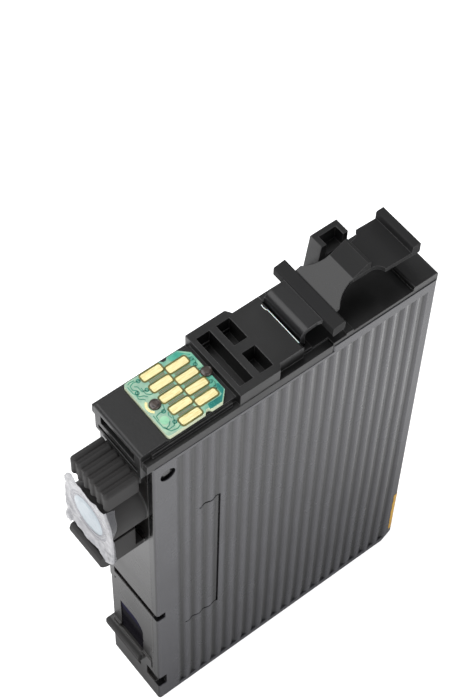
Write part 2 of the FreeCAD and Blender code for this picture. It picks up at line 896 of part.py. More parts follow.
def top_adapter():
    """The moulding on top: chip shelf, rails, plate, deck, post and hinge seat."""
    adapter = union(shelf_and_apron(), *rails(), top_plate(), *deck(), hinge_seat(), guard_post())
    seat = block(from_front(board_start - board_seat_gap, plate_start), across(shelf_half_width + board_seat_gap),
                 (seat_top, plate_top + 1))
    length, width, height = resin_size
    gap = resin_clearance
    well = block(from_front(board_start + resin_at - gap, board_start + resin_at + length + gap),
                 across(width / 2 + gap), (seat_top - height - gap, seat_top + 1))
    adapter = cut_all(adapter, [seat, well, hinge_channel()])
    return union(adapter, *board_stakes())


# Contact board

def contact_board():
    """The glass-epoxy board: cut corners, side notches, a hole and a back notch."""
    x0, x1 = front + board_start, front + board_end
    half, cut, deep = board_half_width, board_corner, board_half_width - board_notch_depth
    a = x0 + board_notch_at
    b = a + board_notch_depth
    c = a + board_notch_length - board_notch_depth
    d = a + board_notch_length
    steps = [(x0, -half), (a, -half), (b, -deep), (c, -deep), (d, -half), (x1 - cut, -half), (x1, -half + cut),
             (x1, half - cut), (x1 - cut, half), (d, half), (c, deep), (b, deep), (a, half), (x0, half)]
    board = top_slab(steps, (seat_top, board_top))
    board = rounded(board, Vector(0, 0, 1), board_round, lambda centre: centre.x < x0 + board_round)
    hole_radius = stake_pin_radius + stake_clearance
    low, high = seat_top - 1, board_top + 1
    front_hole, back_hole = x0 + stake_front, x1 - stake_back_margin
    board = board.cut(rod(hole_radius, (front_hole, 0, low), (front_hole, 0, high)))
    board = board.cut(rod(hole_radius, (back_hole, 0, low), (back_hole, 0, high)))
    return board.cut(block((back_hole, x1 + 1), across(hole_radius), (low, high)))


def contact_pads():
    """Nine flat gold pads in two staggered rows, with rounded corners."""
    pads = []
    for start, count in pad_rows:
        x = from_front(board_start + start, board_start + start + pad_length)
        for i in range(count):
            y = (i - (count - 1) / 2) * pad_pitch
            pad = block(x, (y - pad_width / 2, y + pad_width / 2), (board_top, board_top + pad_thickness))
            pads.append(rounded(pad, Vector(0, 0, 1), pad_round))
    return Part.makeCompound(pads)


def memory_chip():
    """The resin-covered chip under the board."""
    length, width, height = resin_size
    low = seat_top - height
    blob = block(from_front(board_start + resin_at, board_start + resin_at + length), across(width / 2),
                 (low, seat_top))
    blob = blob.makeChamfer(resin_corner, edges_along(blob, Vector(0, 0, 1)))
    rim = [edge for edge in blob.Edges if abs(edge.CenterOfMass.z - low) < 0.01]
    return blob.makeChamfer(resin_bevel, rim)


# Latch lever

def lever_sheet():
    """Side view of the lever, cut to its plan: riser, strip, blade and thumb pad."""
    top_line = [(-strip_thickness / 2, 0.0), (-strip_thickness / 2, strip_height),
                (blade_start, lever_tilt), (bar_from_hinge[1], bar_top[1] - 0.15),
                (fold_from_hinge, fold_height), (block_end, fold_height - 0.15),
                (lever_reach - lip_length, pad_height), (lever_reach, pad_height)]
    outline = bent_sheet([(hinge_x + x, hinge_z + z) for x, z in top_line], strip_thickness)
    sheet = side_slab(outline, across(bar_half_width))
    bend_x = hinge_x + 2 * strip_thickness
    sheet = rounded(sheet, Vector(0, 1, 0), strip_bend,
                    lambda c: c.x < hinge_x and c.z > hinge_z + strip_height - 0.1)
    sheet = rounded(sheet, Vector(0, 1, 0), strip_bend - strip_thickness,
                    lambda c: hinge_x < c.x < bend_x and c.z > hinge_z + strip_height / 2)
    return sheet.common(lever_plan())


def lever_plan():
    """Plan of the lever: wide at the bar, drawn in at the waist, wide at the pad."""
    wide, waist, pad, strip = blade_half_width, waist_half_width, pad_half_width, strip_half_width
    start, bar_end = blade_start - 0.8, bar_from_hinge[1] + 0.8
    near_side = [(-1.1, -strip), (start, -strip), (blade_start, -wide), (bar_end, -wide),
                 (bar_end + 1.3, -waist - 0.55, waist_from_hinge, -waist), (block_end, -waist),
                 (pad_start - 0.45, -waist - 0.35, pad_start, -pad)]
    tip = [(lever_reach - pad_corner, -pad), (lever_reach, pad_corner - pad),
           (lever_reach, pad - pad_corner), (lever_reach - pad_corner, pad)]
    far_side = [(pad_start + 1.0, pad), (pad_start + 0.25, waist + 0.35, pad_start - 1.0, waist),
                (waist_from_hinge, waist), (bar_end + 1.3, waist + 0.55, bar_end, wide),
                (blade_start, wide), (start, strip), (-1.1, strip)]
    steps = []
    for step in near_side + tip + far_side:
        steps.append(tuple(value + hinge_x if i % 2 == 0 else value for i, value in enumerate(step)))
    return top_slab(steps, (hinge_z - 2, hinge_z + 12))


def lever_bar():
    """The locking bar across the lever, with an ear past each side of the blade."""
    (x0, x1), (z0, z1) = bar_from_hinge, bar_top
    steps = [(x0, z0 - bar_depth), (x1, z1 - bar_depth), (x1, z1), (x0, z0)]
    bar = side_slab([(hinge_x + x, hinge_z + z) for x, z in steps], across(bar_half_width))
    return rounded(bar, Vector(0, 1, 0), bar_round)


def latch_lever():
    """Sprung lever: root bead, strip, locking bar, blade, block, pad, lip and spine."""
    bead = rod(bead_radius, (hinge_x, -strip_half_width, hinge_z), (hinge_x, strip_half_width, hinge_z))
    low = fold_height - strip_thickness
    top = fold_height + block_rise
    steps = [(fold_from_hinge, low), (block_end, low), (block_end, top - 0.2), (block_end - 0.5, top),
             (fold_from_hinge, fold_height)]
    wedge = side_slab([(hinge_x + x, hinge_z + z) for x, z in steps], across(waist_half_width - 0.05))
    lip_x = (hinge_x + lever_reach - lip_length, hinge_x + lever_reach)
    lip = block(lip_x, across(lip_half_width), (hinge_z + pad_height - lip_drop, hinge_z + pad_height + lip_rise))
    lip = rounded(lip, Vector(0, 1, 0), lip_round)
    under = pad_height - strip_thickness
    steps = [(block_end, low), (lever_reach - 1.1, under + 0.1), (lever_reach - 1.1, under - spine_depth / 2),
             (pad_start + 1.0, under - spine_depth)]
    spine = side_slab([(hinge_x + x, hinge_z + z) for x, z in steps], across(spine_half_width))
    return union(lever_sheet(), bead, lever_bar(), wedge, lip, spine)


# Outlet pieces

def outlet_foam():
    """The soft disc through which the ink leaves."""
    return rod(foam_radius, (outlet_mouth, 0, outlet_z), (outlet_mouth + foam_length, 0, outlet_z))


def outlet_filter():
    """A round mesh sheet on the floor of the outlet's bore."""
    bed = front + filter_bed
    return rod(foam_radius - filter_margin, (bed - filter_thickness, 0, outlet_z), (bed, 0, outlet_z))


def outlet_leaf_spring():
    """A bent metal leaf that presses the foam outwards."""
    low = front + filter_bed - filter_thickness
    high = outlet_mouth + foam_length
    z, t, half, flat, foot = outlet_z, leaf_thickness, leaf_half_height, leaf_flat, leaf_foot
    outline = [(high, z - flat), (high, z + flat), (low - t, z + half - foot), (low - t, z + half),
               (low, z + half), (low, z + half - foot - 0.05), (high + t, z + flat - 0.05),
               (high + t, z - flat + 0.05), (low, z - half + foot + 0.05), (low, z - half),
               (low - t, z - half), (low - t, z - half + foot)]
    return side_slab(outline, across(leaf_half_width))


def outlet_seal():
    """The heat-sealed film over the outlet's rim."""
    low, high = scoop_low + scoop_lip_height + seal_lip_gap, outlet_z + seal_above
    sheet = block((outlet_mouth - seal_thickness, outlet_mouth), across(seal_half_width), (low, high))
    return rounded(sheet, Vector(1, 0, 0), seal_corner)


# Ink-end sensor

def sensor_prism():
    """Clear prism: a window pane, its flange and a right-angled roof inside."""
    gap = prism_clearance
    root = front + inner_inset
    pane = end_slab(window_outline(-gap), (front + panel_recess + prism_recess, front + wall + gap))
    flange = end_slab(window_outline(prism_flange - 3 * gap), (front + wall, root))
    half = window_half_width - prism_ridge_margin
    roof = [(root, window_centre_y - half), (root + half, window_centre_y), (root, window_centre_y + half)]
    ridge = top_slab(roof, (window_low + prism_ridge_low, window_high - prism_ridge_top))
    return union(pane, flange, ridge)


# Ink chamber pieces

def chamber_film():
    """The flexible film welded to the tray's inner rim."""
    sheet = side_slab(body_outline(wall + film_margin), (film_rim - film_thickness, film_rim))
    return sheet.cut(pin_web(pin_web_gap))


def pressure_plate():
    """The plate behind the film, with a spring seat and a tab for the air valve."""
    plate = rounded(block(plate_x, plate_y, plate_z), Vector(0, 1, 0), plate_corner)
    tab_x = (valve_centre_x - tab_width / 2, valve_centre_x + tab_width / 2)
    tab = block(tab_x, plate_y, (plate_z[1] - 1, plate_z[1] + tab_height))
    x, z, back_y = plate_centre_x, plate_centre_z, plate_y[1]
    ring = rod(spring_seat_radius, (x, back_y - plate_thickness / 2, z), (x, back_y + spring_boss_height, z))
    hollow = rod(spring_seat_radius - spring_ring_wall, (x, back_y, z), (x, back_y + spring_boss_height + 1, z))
    return union(plate, tab, ring).cut(hollow)


def plate_spring():
    """The coil spring that pushes the plate towards the film."""
    length = tray_floor - plate_y[1] - 2 * spring_end_gap
    spring = coil(spring_radius, spring_wire, spring_turns, length)
    return aim_y(spring, (plate_centre_x, plate_y[1] + spring_end_gap, plate_centre_z))


# Air valve

def valve_seat():
    """Valve housing: back plate with the air hole, two cheeks, a spring bridge and legs."""
    x, z = valve_x, valve_z
    rear = block(x, (valve_plate_y, valve_plate_y + valve_plate), z)
    pieces = [block(x, bridge_y, (z[1] - valve_bridge_height, z[1]))]
    for low in (x[0], x[1] - valve_side):
        pieces.append(block((low, low + valve_side), (bridge_y[0], valve_plate_y), (z[0] + valve_cheek_foot, z[1])))
    for low in (x[0], x[1] - valve_leg_length):
        pieces.append(block((low, low + valve_leg_length), (valve_plate_y, tray_floor),
                            (z[1] - valve_leg_height, z[1])))
    hole = rod(valve_hole_radius, (valve_centre_x, valve_plate_y - 1, valve_hole_z),
               (valve_centre_x, valve_plate_y + valve_plate + 1, valve_hole_z))
    bearing = rod(valve_pivot_radius + pivot_clearance, (x[0] - 1, valve_pivot_y, valve_pivot_z),
                  (x[1] + 1, valve_pivot_y, valve_pivot_z))
    return cut_all(union(rear, *pieces), [hole, bearing])


def valve_lever():
    """The rocker that covers the air hole and is pushed by the plate's tab."""
    x, y, pivot = valve_centre_x, rocker_y, valve_pivot_z
    inner = (valve_x[0] + valve_side + rocker_side_gap, valve_x[1] - valve_side - rocker_side_gap)
    paddle = block((x - rocker_half_width, x + rocker_half_width), y, (pivot, valve_top - rocker_top_gap))
    hub = block(inner, y, (pivot - rocker_hub_half, pivot + rocker_hub_half))
    pin = rod(valve_pivot_radius, (valve_x[0] + pivot_end_gap, valve_pivot_y, pivot),
              (valve_x[1] - pivot_end_gap, valve_pivot_y, pivot))
    arm = block((x - rocker_arm_half, x + rocker_arm_half), (y[0], y[1] - rocker_arm_relief),
                (pivot - rocker_arm, pivot))
    seal = rod(valve_hole_radius + rocker_seal_margin, (x, y[1] - rocker_gap, valve_hole_z),
               (x, valve_plate_y - rocker_seal_gap, valve_hole_z))
    return union(paddle, hub, pin, arm, seal)


def valve_spring():
    """The small coil that keeps the air hole closed."""
    length = rocker_y[0] - bridge_y[1] - 2 * spring_end_gap
    spring = coil(valve_spring_radius, valve_spring_wire, valve_spring_turns, length)
    return aim_y(spring, (valve_centre_x, bridge_y[1] + spring_end_gap, valve_hole_z))


# Vent

def vent_membrane():
    """The sheet that lets air through and holds ink back."""
    x, z = valve_centre_x, membrane_z
    return rod(membrane_radius - membrane_fit, (x, path_floor, z), (x, path_floor + membrane_thickness, z))


def air_path_film():
    """The thin film that closes the winding groove."""
    return path_film_sheet()


def vent_tape():
    """Tape over the vent hole, folded a little way round both side edges."""
    z = (vent_height - tape_height / 2, vent_height + tape_height / 2)
    outer = (near - tape_thickness, far + tape_thickness)
    wrap = block((back - tape_wrap, back + tape_thickness), outer, z)
    return wrap.cut(block((back - tape_wrap - 1, back), (near, far), (z[0] - 1, z[1] + 1)))


MAKERS = {
    "case_tray": case_tray,
    "side_cover": side_cover,
    "top_adapter": top_adapter,
    "contact_board": contact_board,
    "contact_pads": contact_pads,
    "memory_chip": memory_chip,
    "latch_lever": latch_lever,
    "outlet_foam": outlet_foam,
    "outlet_filter": outlet_filter,
    "outlet_leaf_spring": outlet_leaf_spring,
    "outlet_seal": outlet_seal,
    "sensor_prism": sensor_prism,
    "chamber_film": chamber_film,
    "pressure_plate": pressure_plate,
    "plate_spring": plate_spring,
    "valve_seat": valve_seat,
    "valve_lever": valve_lever,
    "valve_spring": valve_spring,
    "vent_membrane": vent_membrane,
    "air_path_film": air_path_film,
    "vent_tape": vent_tape,
}

os.makedirs("parts", exist_ok=True)
for node, make in MAKERS.items():
    shape = make()
    shape.exportStep(f"parts/{node}.step")
    print(f"{node}: {len(shape.Solids)} solids, {shape.Volume:.2f} mm3, valid {shape.isValid()}")
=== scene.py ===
"""Looks of a slim single-ink cartridge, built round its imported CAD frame.

Every size is in millimetres in the part's own frame, and becomes metres where
a mesh or a texture is made. X runs from the outlet end to the back, Y across
the thin body with the ribbed cover on -Y, and Z up.
"""

import logging
import math
from dataclasses import dataclass
from enum import Enum
from functools import partial
from typing import Callable, Sequence

import bmesh
import bpy
from mathutils import Matrix, Vector, noise

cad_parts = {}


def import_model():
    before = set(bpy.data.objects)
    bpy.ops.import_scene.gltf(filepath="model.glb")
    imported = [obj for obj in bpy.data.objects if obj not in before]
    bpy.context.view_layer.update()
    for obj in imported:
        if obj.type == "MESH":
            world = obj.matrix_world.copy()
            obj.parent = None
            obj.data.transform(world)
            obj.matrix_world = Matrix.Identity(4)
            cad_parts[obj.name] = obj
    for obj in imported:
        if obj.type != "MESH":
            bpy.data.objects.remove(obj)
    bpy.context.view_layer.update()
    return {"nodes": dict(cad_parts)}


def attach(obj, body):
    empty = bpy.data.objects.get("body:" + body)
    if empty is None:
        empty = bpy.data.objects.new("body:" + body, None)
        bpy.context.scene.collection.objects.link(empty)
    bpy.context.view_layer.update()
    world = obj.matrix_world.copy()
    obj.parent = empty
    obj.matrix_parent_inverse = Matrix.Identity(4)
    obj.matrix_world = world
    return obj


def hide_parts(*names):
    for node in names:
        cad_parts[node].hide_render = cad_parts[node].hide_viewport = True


LOG = logging.getLogger("cartridge")
MM = 0.001
Point2 = tuple[float, float]
Point3 = tuple[float, float, float]
Span = tuple[float, float]
Piece = bpy.types.Object
Tree = bpy.types.NodeTree
Socket = bpy.types.NodeSocket
AddNode = Callable[..., Socket]

# A colour mix takes its factor in socket 0 and its colours in 6 and 7, and gives its result in 2.
BLEND = {"read": 2, "data_type": "RGBA"}
# Nearly all of a noise texture's values lie in the middle span, and blotches start a little higher.
MIDDLE = (0.3, 0.7)
BLOTCH = (0.35, 0.7)
# With its scale over this, a wave texture's light and dark bands are each about one feature wide.
WAVE_TURN = 6.28


class Body(Enum):
    """The moving groups of the frame that a piece can ride on."""

    SHELL = "body"
    LATCH = "latch"
    PLATE = "plate"
    ROCKER = "rocker"


class LineShape(Enum):
    """What a line tree draws from its guide mesh."""

    PATH = "along the guide's edges"
    RING = "a circle on every guide point"
    SLOT = "a rounded rectangle on every guide point"


def linear(code: str) -> tuple[float, float, float, float]:
    """Turns an sRGB hex colour into linear RGBA.

    Args:
        code: a colour such as "#1A2B3C".

    Returns:
        Red, green, blue and an alpha of 1.
    """
    values = [int(code[i:i + 2], 16) / 255 for i in (1, 3, 5)]
    low = [v / 12.92 if v <= 0.04045 else ((v + 0.055) / 1.055) ** 2.4 for v in values]
    return (low[0], low[1], low[2], 1.0)


def per_mm(size: float) -> float:
    """Texture scale, in metres, at which one feature is about this many millimetres."""
    return 1 / (size * MM)


def smooth_step(low: float, high: float, value: float) -> float:
    """A smooth rise from 0 at low to 1 at high."""
    t = min(max((value - low) / (high - low), 0.0), 1.0)
    return t * t * (3 - 2 * t)


def ripple_at(a: float, b: float, c: float) -> float:
    """A smooth unevenness between -1 and 1, always the same at the same place."""
    return noise.noise(Vector((a, b, c)))


def spline_at(points: Sequence[Point2], t: float) -> Point2:
    """A place on a smooth line through points.

    Args:
        points: the line's points, in order.
        t: how far along, from 0 to 1, the same for every run.

    Returns:
        The place on a Catmull-Rom spline through the points.
    """
    runs = len(points) - 1
    i = min(int(t * runs), runs - 1)
    s = t * runs - i
    a, b, c, d = points[max(i - 1, 0)], points[i], points[i + 1], points[min(i + 2, runs)]
    blend = [0.5 * (2 * b[k] + (c[k] - a[k]) * s + (2 * a[k] - 5 * b[k] + 4 * c[k] - d[k]) * s * s
                    + (3 * b[k] - a[k] - 3 * c[k] + d[k]) * s ** 3) for k in (0, 1)]
    return (blend[0], blend[1])


def arc_outline(centre: Point2, inner: float, outer: float, turn: Span, steps: int) -> list[Point2]:
    """Outline of part of a ring.

    Args:
        centre: the ring's middle.
        inner: its inner radius.
        outer: its outer radius.
        turn: where it starts and ends, in degrees.
        steps: straight runs along each side.

    Returns:
        The outer side's points, and then the inner side's on the way back.
    """
    angles = [math.radians(turn[0] + (turn[1] - turn[0]) * i / steps) for i in range(steps + 1)]
    sides = ((outer, angles), (inner, angles[::-1]))
    return [(centre[0] + radius * math.cos(a), centre[1] + radius * math.sin(a))
            for radius, way in sides for a in way]


def add_node(tree: Tree, family: str, kind: str, inputs: dict | Sequence = (),
             read: int | str = 0, **settings) -> Socket | None:
    """Adds a node, sets its properties, and sets or links its inputs.

    Args:
        tree: the tree that gets the node.
        family: the first part of the node's type name, such as "ShaderNode".
        kind: the rest of that name.
        inputs: values, hex colours or sockets to link, in order or by name or number.
        read: the output that is wanted.
        settings: the node's own properties.

    Returns:
        That output, or none where the node has no output.
    """
    node = tree.nodes.new(family + kind)
    for name, value in settings.items():
        setattr(node, name, value)
    for key, value in inputs.items() if isinstance(inputs, dict) else enumerate(inputs):
        if isinstance(value, Socket):
            tree.links.new(value, node.inputs[key])
        else:
            node.inputs[key].default_value = linear(value) if isinstance(value, str) else value
    return node.outputs[read] if node.outputs else None


def link_object(name: str, data: bpy.types.ID) -> Piece:
    """Puts something in the scene as an object at the origin.

    Args:
        name: the object's name.
        data: its mesh, camera or lamp.

    Returns:
        The new object.
    """
    thing = bpy.data.objects.new(name, data)
    bpy.context.scene.collection.objects.link(thing)
    return thing


def settle(name: str, shape: bmesh.types.BMesh) -> Piece:
    """Turns a finished shape into a mesh object, and frees the shape.

    Args:
        name: the object's name.
        shape: the shape.

    Returns:
        The new object.
    """
    mesh = bpy.data.meshes.new(name)
    shape.to_mesh(mesh)
    shape.free()
    return link_object(name, mesh)


def plain_mesh(piece: Piece) -> Piece:
    """Bakes an object's modifiers into its mesh.

    Args:
        piece: the object with its live modifiers.

    Returns:
        The same object, with a plain mesh and no modifier.
    """
    graph = bpy.context.evaluated_depsgraph_get()
    mesh = bpy.data.meshes.new_from_object(piece.evaluated_get(graph))
    piece.modifiers.clear()
    piece.data = mesh
    return piece


def walled_sheet(name: str, columns: int, rows: int, place: Callable[[float, float], Point3],
                 front: int, wall: float) -> Piece:
    """Makes a smooth thin sheet from a rule that places each point of its front.

    Args:
        name: the object's name.
        columns: cells along u.
        rows: cells along v.
        place: gives millimetres for u and v, each from 0 to 1.
        front: 1 for a front that mostly looks to +X, and -1 for -X.
        wall: how far its back lies behind its front.

    Returns:
        The sheet, closed, with faces that point outwards.
    """
    shape = bmesh.new()
    points = [[shape.verts.new(Vector(place(i / columns, j / rows)) * MM) for i in range(columns + 1)]
              for j in range(rows + 1)]
    for low, high in zip(points, points[1:]):
        for i in range(columns):
            shape.faces.new((low[i], low[i + 1], high[i + 1], high[i])).smooth = True
    sheet = settle(name, shape)
    if front * sum(face.normal.x * face.area for face in sheet.data.polygons) < 0:
        sheet.data.flip_normals()
    solid = sheet.modifiers.new("wall", "SOLIDIFY")
    solid.thickness = wall * MM
    solid.offset = -1
    return plain_mesh(sheet)


# Finishes

@dataclass(frozen=True)
class Finish:
    """What every finish shares: a name, and how its material starts."""

    name: str

    def material(self) -> bpy.types.Material:
        """Builds the finish as a node material, once for each name.

        Returns:
            The material.
        """
        if self.name in bpy.data.materials:
            return bpy.data.materials[self.name]
        material = bpy.data.materials.new(self.name)
        material.use_nodes = True
        material.node_tree.nodes.clear()
        add = partial(add_node, material.node_tree, "ShaderNode")
        add("OutputMaterial", {"Surface": self.shade(add, add("TexCoord", read="Object"))})
        return material

    def shade(self, add: AddNode, place: Socket) -> Socket:
        """Builds the shader from object coordinates. Each finish has its own.

        Args:
            add: adds a shader node to the finish's tree.
            place: the object coordinates.

        Returns:
            The finished surface.
        """
        raise NotImplementedError


@dataclass(frozen=True)
class BlackMoulding(Finish):
    """Injection-moulded black plastic. Dark all through, it shows its form by the pale things that it
    mirrors, with fine spark grain, and a paler colour painted on its edges that is partly wear and partly
    painted highlight."""

    colour: str = "#0E0E0F"
    bloom: str = "#1B1B1D"
    # The edge colour is painted on every edge: partly wear, partly painted highlight.
    edge: str = "#3A3A3B"
    ior: float = 1.59
    roughness: float = 0.36
    grain: float = 0.35
    grain_depth: float = 0.012
    cloud_size: float = 9.0
    edge_radius: float = 0.14
    sheen: float = 0.5

    def dullness_at(self, add: AddNode, place: Socket) -> Socket | float:
        """How much rougher than its usual skin the moulding is here."""
        return 0.0

    def tone_at(self, add: AddNode, place: Socket, body: Socket) -> Socket:
        """The body colour here, from the moulding's even one."""
        return body

    def shade(self, add: AddNode, place: Socket) -> Socket:
        """Grain, cloudy gloss from the mould's flow, edges rounded in the shading, and a paler edge colour
        that is partly wear and partly painted highlight.
        """
        # Real spark grain is near 0.05 mm. It is drawn several times as coarse, so that it shows.
        grain = add("TexNoise", {"Vector": place, "Scale": per_mm(self.grain), "Detail": 3.0})
        clouds = add("TexNoise", {"Vector": place, "Scale": per_mm(self.cloud_size), "Detail": 4.0})
        soft = add("Bevel", {"Radius": self.edge_radius * MM}, samples=6)
        facing = add("VectorMath", [add("NewGeometry", read="Normal"), soft], "Value",
                     operation="DOT_PRODUCT")
        # Edge mask for the paler edge colour: partly wear, partly painted highlight.
        wear_and_sheen = add("MapRange", [facing, 0.99, 0.80, 0.0, 0.75])
        body = add("Mix", {0: add("MapRange", [clouds, *BLOTCH]), 6: self.colour, 7: self.bloom}, **BLEND)
        body = self.tone_at(add, place, body)
        gloss = add("MapRange", [clouds, *MIDDLE, self.roughness - 0.05, self.roughness + 0.06])
        return add("BsdfPrincipled", {
            "Base Color": add("Mix", {0: wear_and_sheen, 6: body, 7: self.edge}, **BLEND),
            "Roughness": add("Math", [gloss, self.dullness_at(add, place)]),
            "Specular IOR Level": self.sheen, "IOR": self.ior,
            "Normal": add("Bump", {"Strength": 0.6, "Distance": self.grain_depth * MM, "Height": grain,
                                   "Normal": soft})})


@dataclass(frozen=True)
class RibbedMoulding(BlackMoulding):
    """The cover's polystyrene, with painted light on its ribs: the rib crests are painted grey as painted
    sheen, and the grooves between them are painted black as painted shade."""

    crest_y: float = -6.0
    crest_depth: float = 0.03
    groove_depth: float = 0.23
    groove_shade_colour: str = "#0A0A0B"

    def tone_at(self, add: AddNode, place: Socket, body: Socket) -> Socket:
        """Painted sheen: greyer at the crests. Painted shade: black in the grooves."""
        # Mask of the painted shade, from the crest level down into the grooves.
        painted_groove_shade = add("MapRange", [add("SeparateXYZ", [place], 1), (self.crest_y + self.crest_depth) * MM,
                                (self.crest_y + self.groove_depth) * MM])
        return add("Mix", {0: painted_groove_shade, 6: body, 7: self.groove_shade_colour}, **BLEND)


@dataclass(frozen=True)
class TrayMoulding(BlackMoulding):
    """The tray's polypropylene: smooth walls, and an outlet, hood and scoop that the
    tool leaves matt, so that wet ink spreads on them."""

    matt_from: float = -24.15
    fade: float = 0.15
    matt_dullness: float = 0.45

    def dullness_at(self, add: AddNode, place: Socket) -> Socket:
        """Rougher in front of the front wall."""
        return add("MapRange", [add("SeparateXYZ", [place]), (self.matt_from - self.fade) * MM,
                                self.matt_from * MM, self.matt_dullness, 0.0])


@dataclass(frozen=True)
class LeverMoulding(BlackMoulding):
    """The lever's acetal: a polished strip and blade that mirror the studio, with a bar
    between them and a block behind them that use has rubbed dull."""

    bar: Span = (5.0, 7.1)
    block_x: float = 11.35
    fade: float = 0.1
    rubbed: float = 0.48

    def dullness_at(self, add: AddNode, place: Socket) -> Socket:
        """Rougher on the bar, and from the block to the lever's end."""
        along = add("SeparateXYZ", [place])
        dull = 0.0
        for start, change in zip((*self.bar, self.block_x), (self.rubbed, -self.rubbed, self.rubbed)):
            step = add("MapRange", [along, start * MM, (start + self.fade) * MM, 0.0, change])
            dull = add("Math", [dull, step])
        return dull


@dataclass(frozen=True)
class NaturalMoulding(Finish):
    """Unfilled moulding, milky because it scatters light within: polypropylene or acetal."""

    colour: str = "#DEDFDA"
    shade_colour: str = "#CFCFC6"
    roughness: float = 0.38

    def shade(self, add: AddNode, place: Socket) -> Socket:
        """Milky body with faint flow marks."""
        clouds = add("TexNoise", {"Vector": place, "Scale": per_mm(5.0), "Detail": 3.0})
        marks = add("TexNoise", {"Vector": place, "Scale": per_mm(0.4)})
        return add("BsdfPrincipled", {
            "Base Color": add("Mix", {0: clouds, 6: self.colour, 7: self.shade_colour}, **BLEND),
            "Roughness": add("MapRange", [clouds, *MIDDLE, self.roughness - 0.06, self.roughness + 0.06]),
            "IOR": 1.49, "Subsurface Weight": 0.25, "Subsurface Scale": 0.6 * MM,
            "Normal": add("Bump", {"Strength": 0.4, "Distance": 0.01 * MM, "Height": marks})})


@dataclass(frozen=True)
class SolderMask(Finish):
    """Green solder mask, screened on glass-epoxy board and cured: glossy, a little
    wavy over the cloth, and paler where there is no copper under it. The sawn
    edges show the cream core."""

    front: str = "#8AA692"
    back: str = "#4A957F"
    stain: str = "#B5D3B0"
    threads: str = "#2F7B66"
    core: str = "#C9D2B4"
    front_x: float = -20.6
    back_x: float = -10.6
    thread_width: float = 0.5

    def shade(self, add: AddNode, place: Socket) -> Socket:
        """Mask on the flat faces, bare laminate on the cut edges, cloth under both."""
        rise = add("MapRange", [add("SeparateXYZ", [place]), self.front_x * MM, self.back_x * MM])
        stain = add("TexNoise", {"Vector": place, "Scale": per_mm(1.6), "Detail": 3.0})
        # Glass threads are 0.2 mm wide. They are drawn 0.5 mm wide, so that the weave shows.
        bands = [add("TexWave", {"Vector": place, "Scale": per_mm(self.thread_width) / WAVE_TURN,
                                 "Distortion": 0.4}, "Fac", bands_direction=axis) for axis in "XY"]
        weave = add("Math", bands, operation="MULTIPLY")
        mask = add("Mix", {0: rise, 6: self.front, 7: self.back}, **BLEND)
        for patch, colour in ((add("MapRange", [stain, 0.45, 0.75, 0.0, 0.5]), self.stain),
                              (add("MapRange", [weave, 0.2, 1.0, 0.0, 0.18]), self.threads)):
            mask = add("Mix", {0: patch, 6: mask, 7: colour}, **BLEND)
        upright = add("SeparateXYZ", [add("NewGeometry", read="Normal")], 2)
        flat = add("MapRange", [add("Math", [upright], operation="ABSOLUTE"), 0.4, 0.6])
        return add("BsdfPrincipled", {
            "Base Color": add("Mix", {0: flat, 6: self.core, 7: mask}, **BLEND),
            "Roughness": add("MapRange", [flat, 0.0, 1.0, 0.6, 0.3]), "IOR": 1.5,
            "Normal": add("Bump", {"Strength": 0.5, "Distance": 0.015 * MM, "Height": weave})})


@dataclass(frozen=True)
class MaskOverCopper(Finish):
    """Solder mask over copper: the same varnish, darker and flatter, with a raised edge."""

    colour: str = "#04625A"
    stain: str = "#0C766C"
    roughness: float = 0.26

    def shade(self, add: AddNode, place: Socket) -> Socket:
        """One varnish colour, uneven in depth."""
        clouds = add("TexNoise", {"Vector": place, "Scale": per_mm(1.2), "Detail": 3.0})
        skin = add("TexNoise", {"Vector": place, "Scale": per_mm(0.3)})
        thin = add("MapRange", [clouds, *BLOTCH])
        return add("BsdfPrincipled", {
            "Base Color": add("Mix", {0: thin, 6: self.colour, 7: self.stain}, **BLEND),
            "Roughness": add("MapRange", [clouds, *MIDDLE, self.roughness - 0.05, self.roughness + 0.08]),
            "IOR": 1.5, "Normal": add("Bump", {"Strength": 0.3, "Distance": 0.01 * MM, "Height": skin})})


@dataclass(frozen=True)
class GoldFlash(Finish):
    """Gold flashed on nickel: pale and satin, with fine wipe marks from the contact
    springs that run along the slide."""

    colour: str = "#E4DAA6"
    wiped: str = "#D8C684"
    roughness: float = 0.42

    def shade(self, add: AddNode, place: Socket) -> Socket:
        """Pale gold with wipe marks drawn out along X."""
        drawn = add("Mapping", {"Vector": place, "Scale": (0.12, 1.0, 1.0)})
        # Wipe marks are a few hundredths wide. They are drawn at 0.15 mm, so that they show.
        wipes = add("TexNoise", {"Vector": drawn, "Scale": per_mm(0.15), "Detail": 3.0})
        wear_and_sheen = add("MapRange", [wipes, 0.45, 0.7])
        return add("BsdfPrincipled", {
            "Base Color": add("Mix", {0: wear_and_sheen, 6: self.colour, 7: self.wiped}, **BLEND), "Metallic": 0.55,
            "Roughness": add("MapRange", [wear_and_sheen, 0.0, 1.0, self.roughness, self.roughness - 0.14]),
            "Normal": add("Bump", {"Strength": 0.35, "Distance": 0.006 * MM, "Height": wipes})})


@dataclass(frozen=True)
class SpringSteel(Finish):
    """Drawn or rolled stainless spring steel: bright, with fine marks of the tool."""

    colour: str = "#C4C5C6"
    tarnish: str = "#9C9D9F"
    roughness: float = 0.24
    grain: float = 0.12

    def shade(self, add: AddNode, place: Socket) -> Socket:
        """Bright metal with fine tool marks and a few dull places."""
        marks = add("TexNoise", {"Vector": place, "Scale": per_mm(self.grain), "Detail": 4.0})
        dull = add("TexNoise", {"Vector": place, "Scale": per_mm(2.0)})
        return add("BsdfPrincipled", {
            "Base Color": add("Mix", {0: dull, 6: self.colour, 7: self.tarnish}, **BLEND), "Metallic": 1.0,
            "Roughness": add("MapRange", [dull, *MIDDLE, self.roughness - 0.06, self.roughness + 0.1]),
            "Normal": add("Bump", {"Strength": 0.3, "Distance": 0.004 * MM, "Height": marks})})


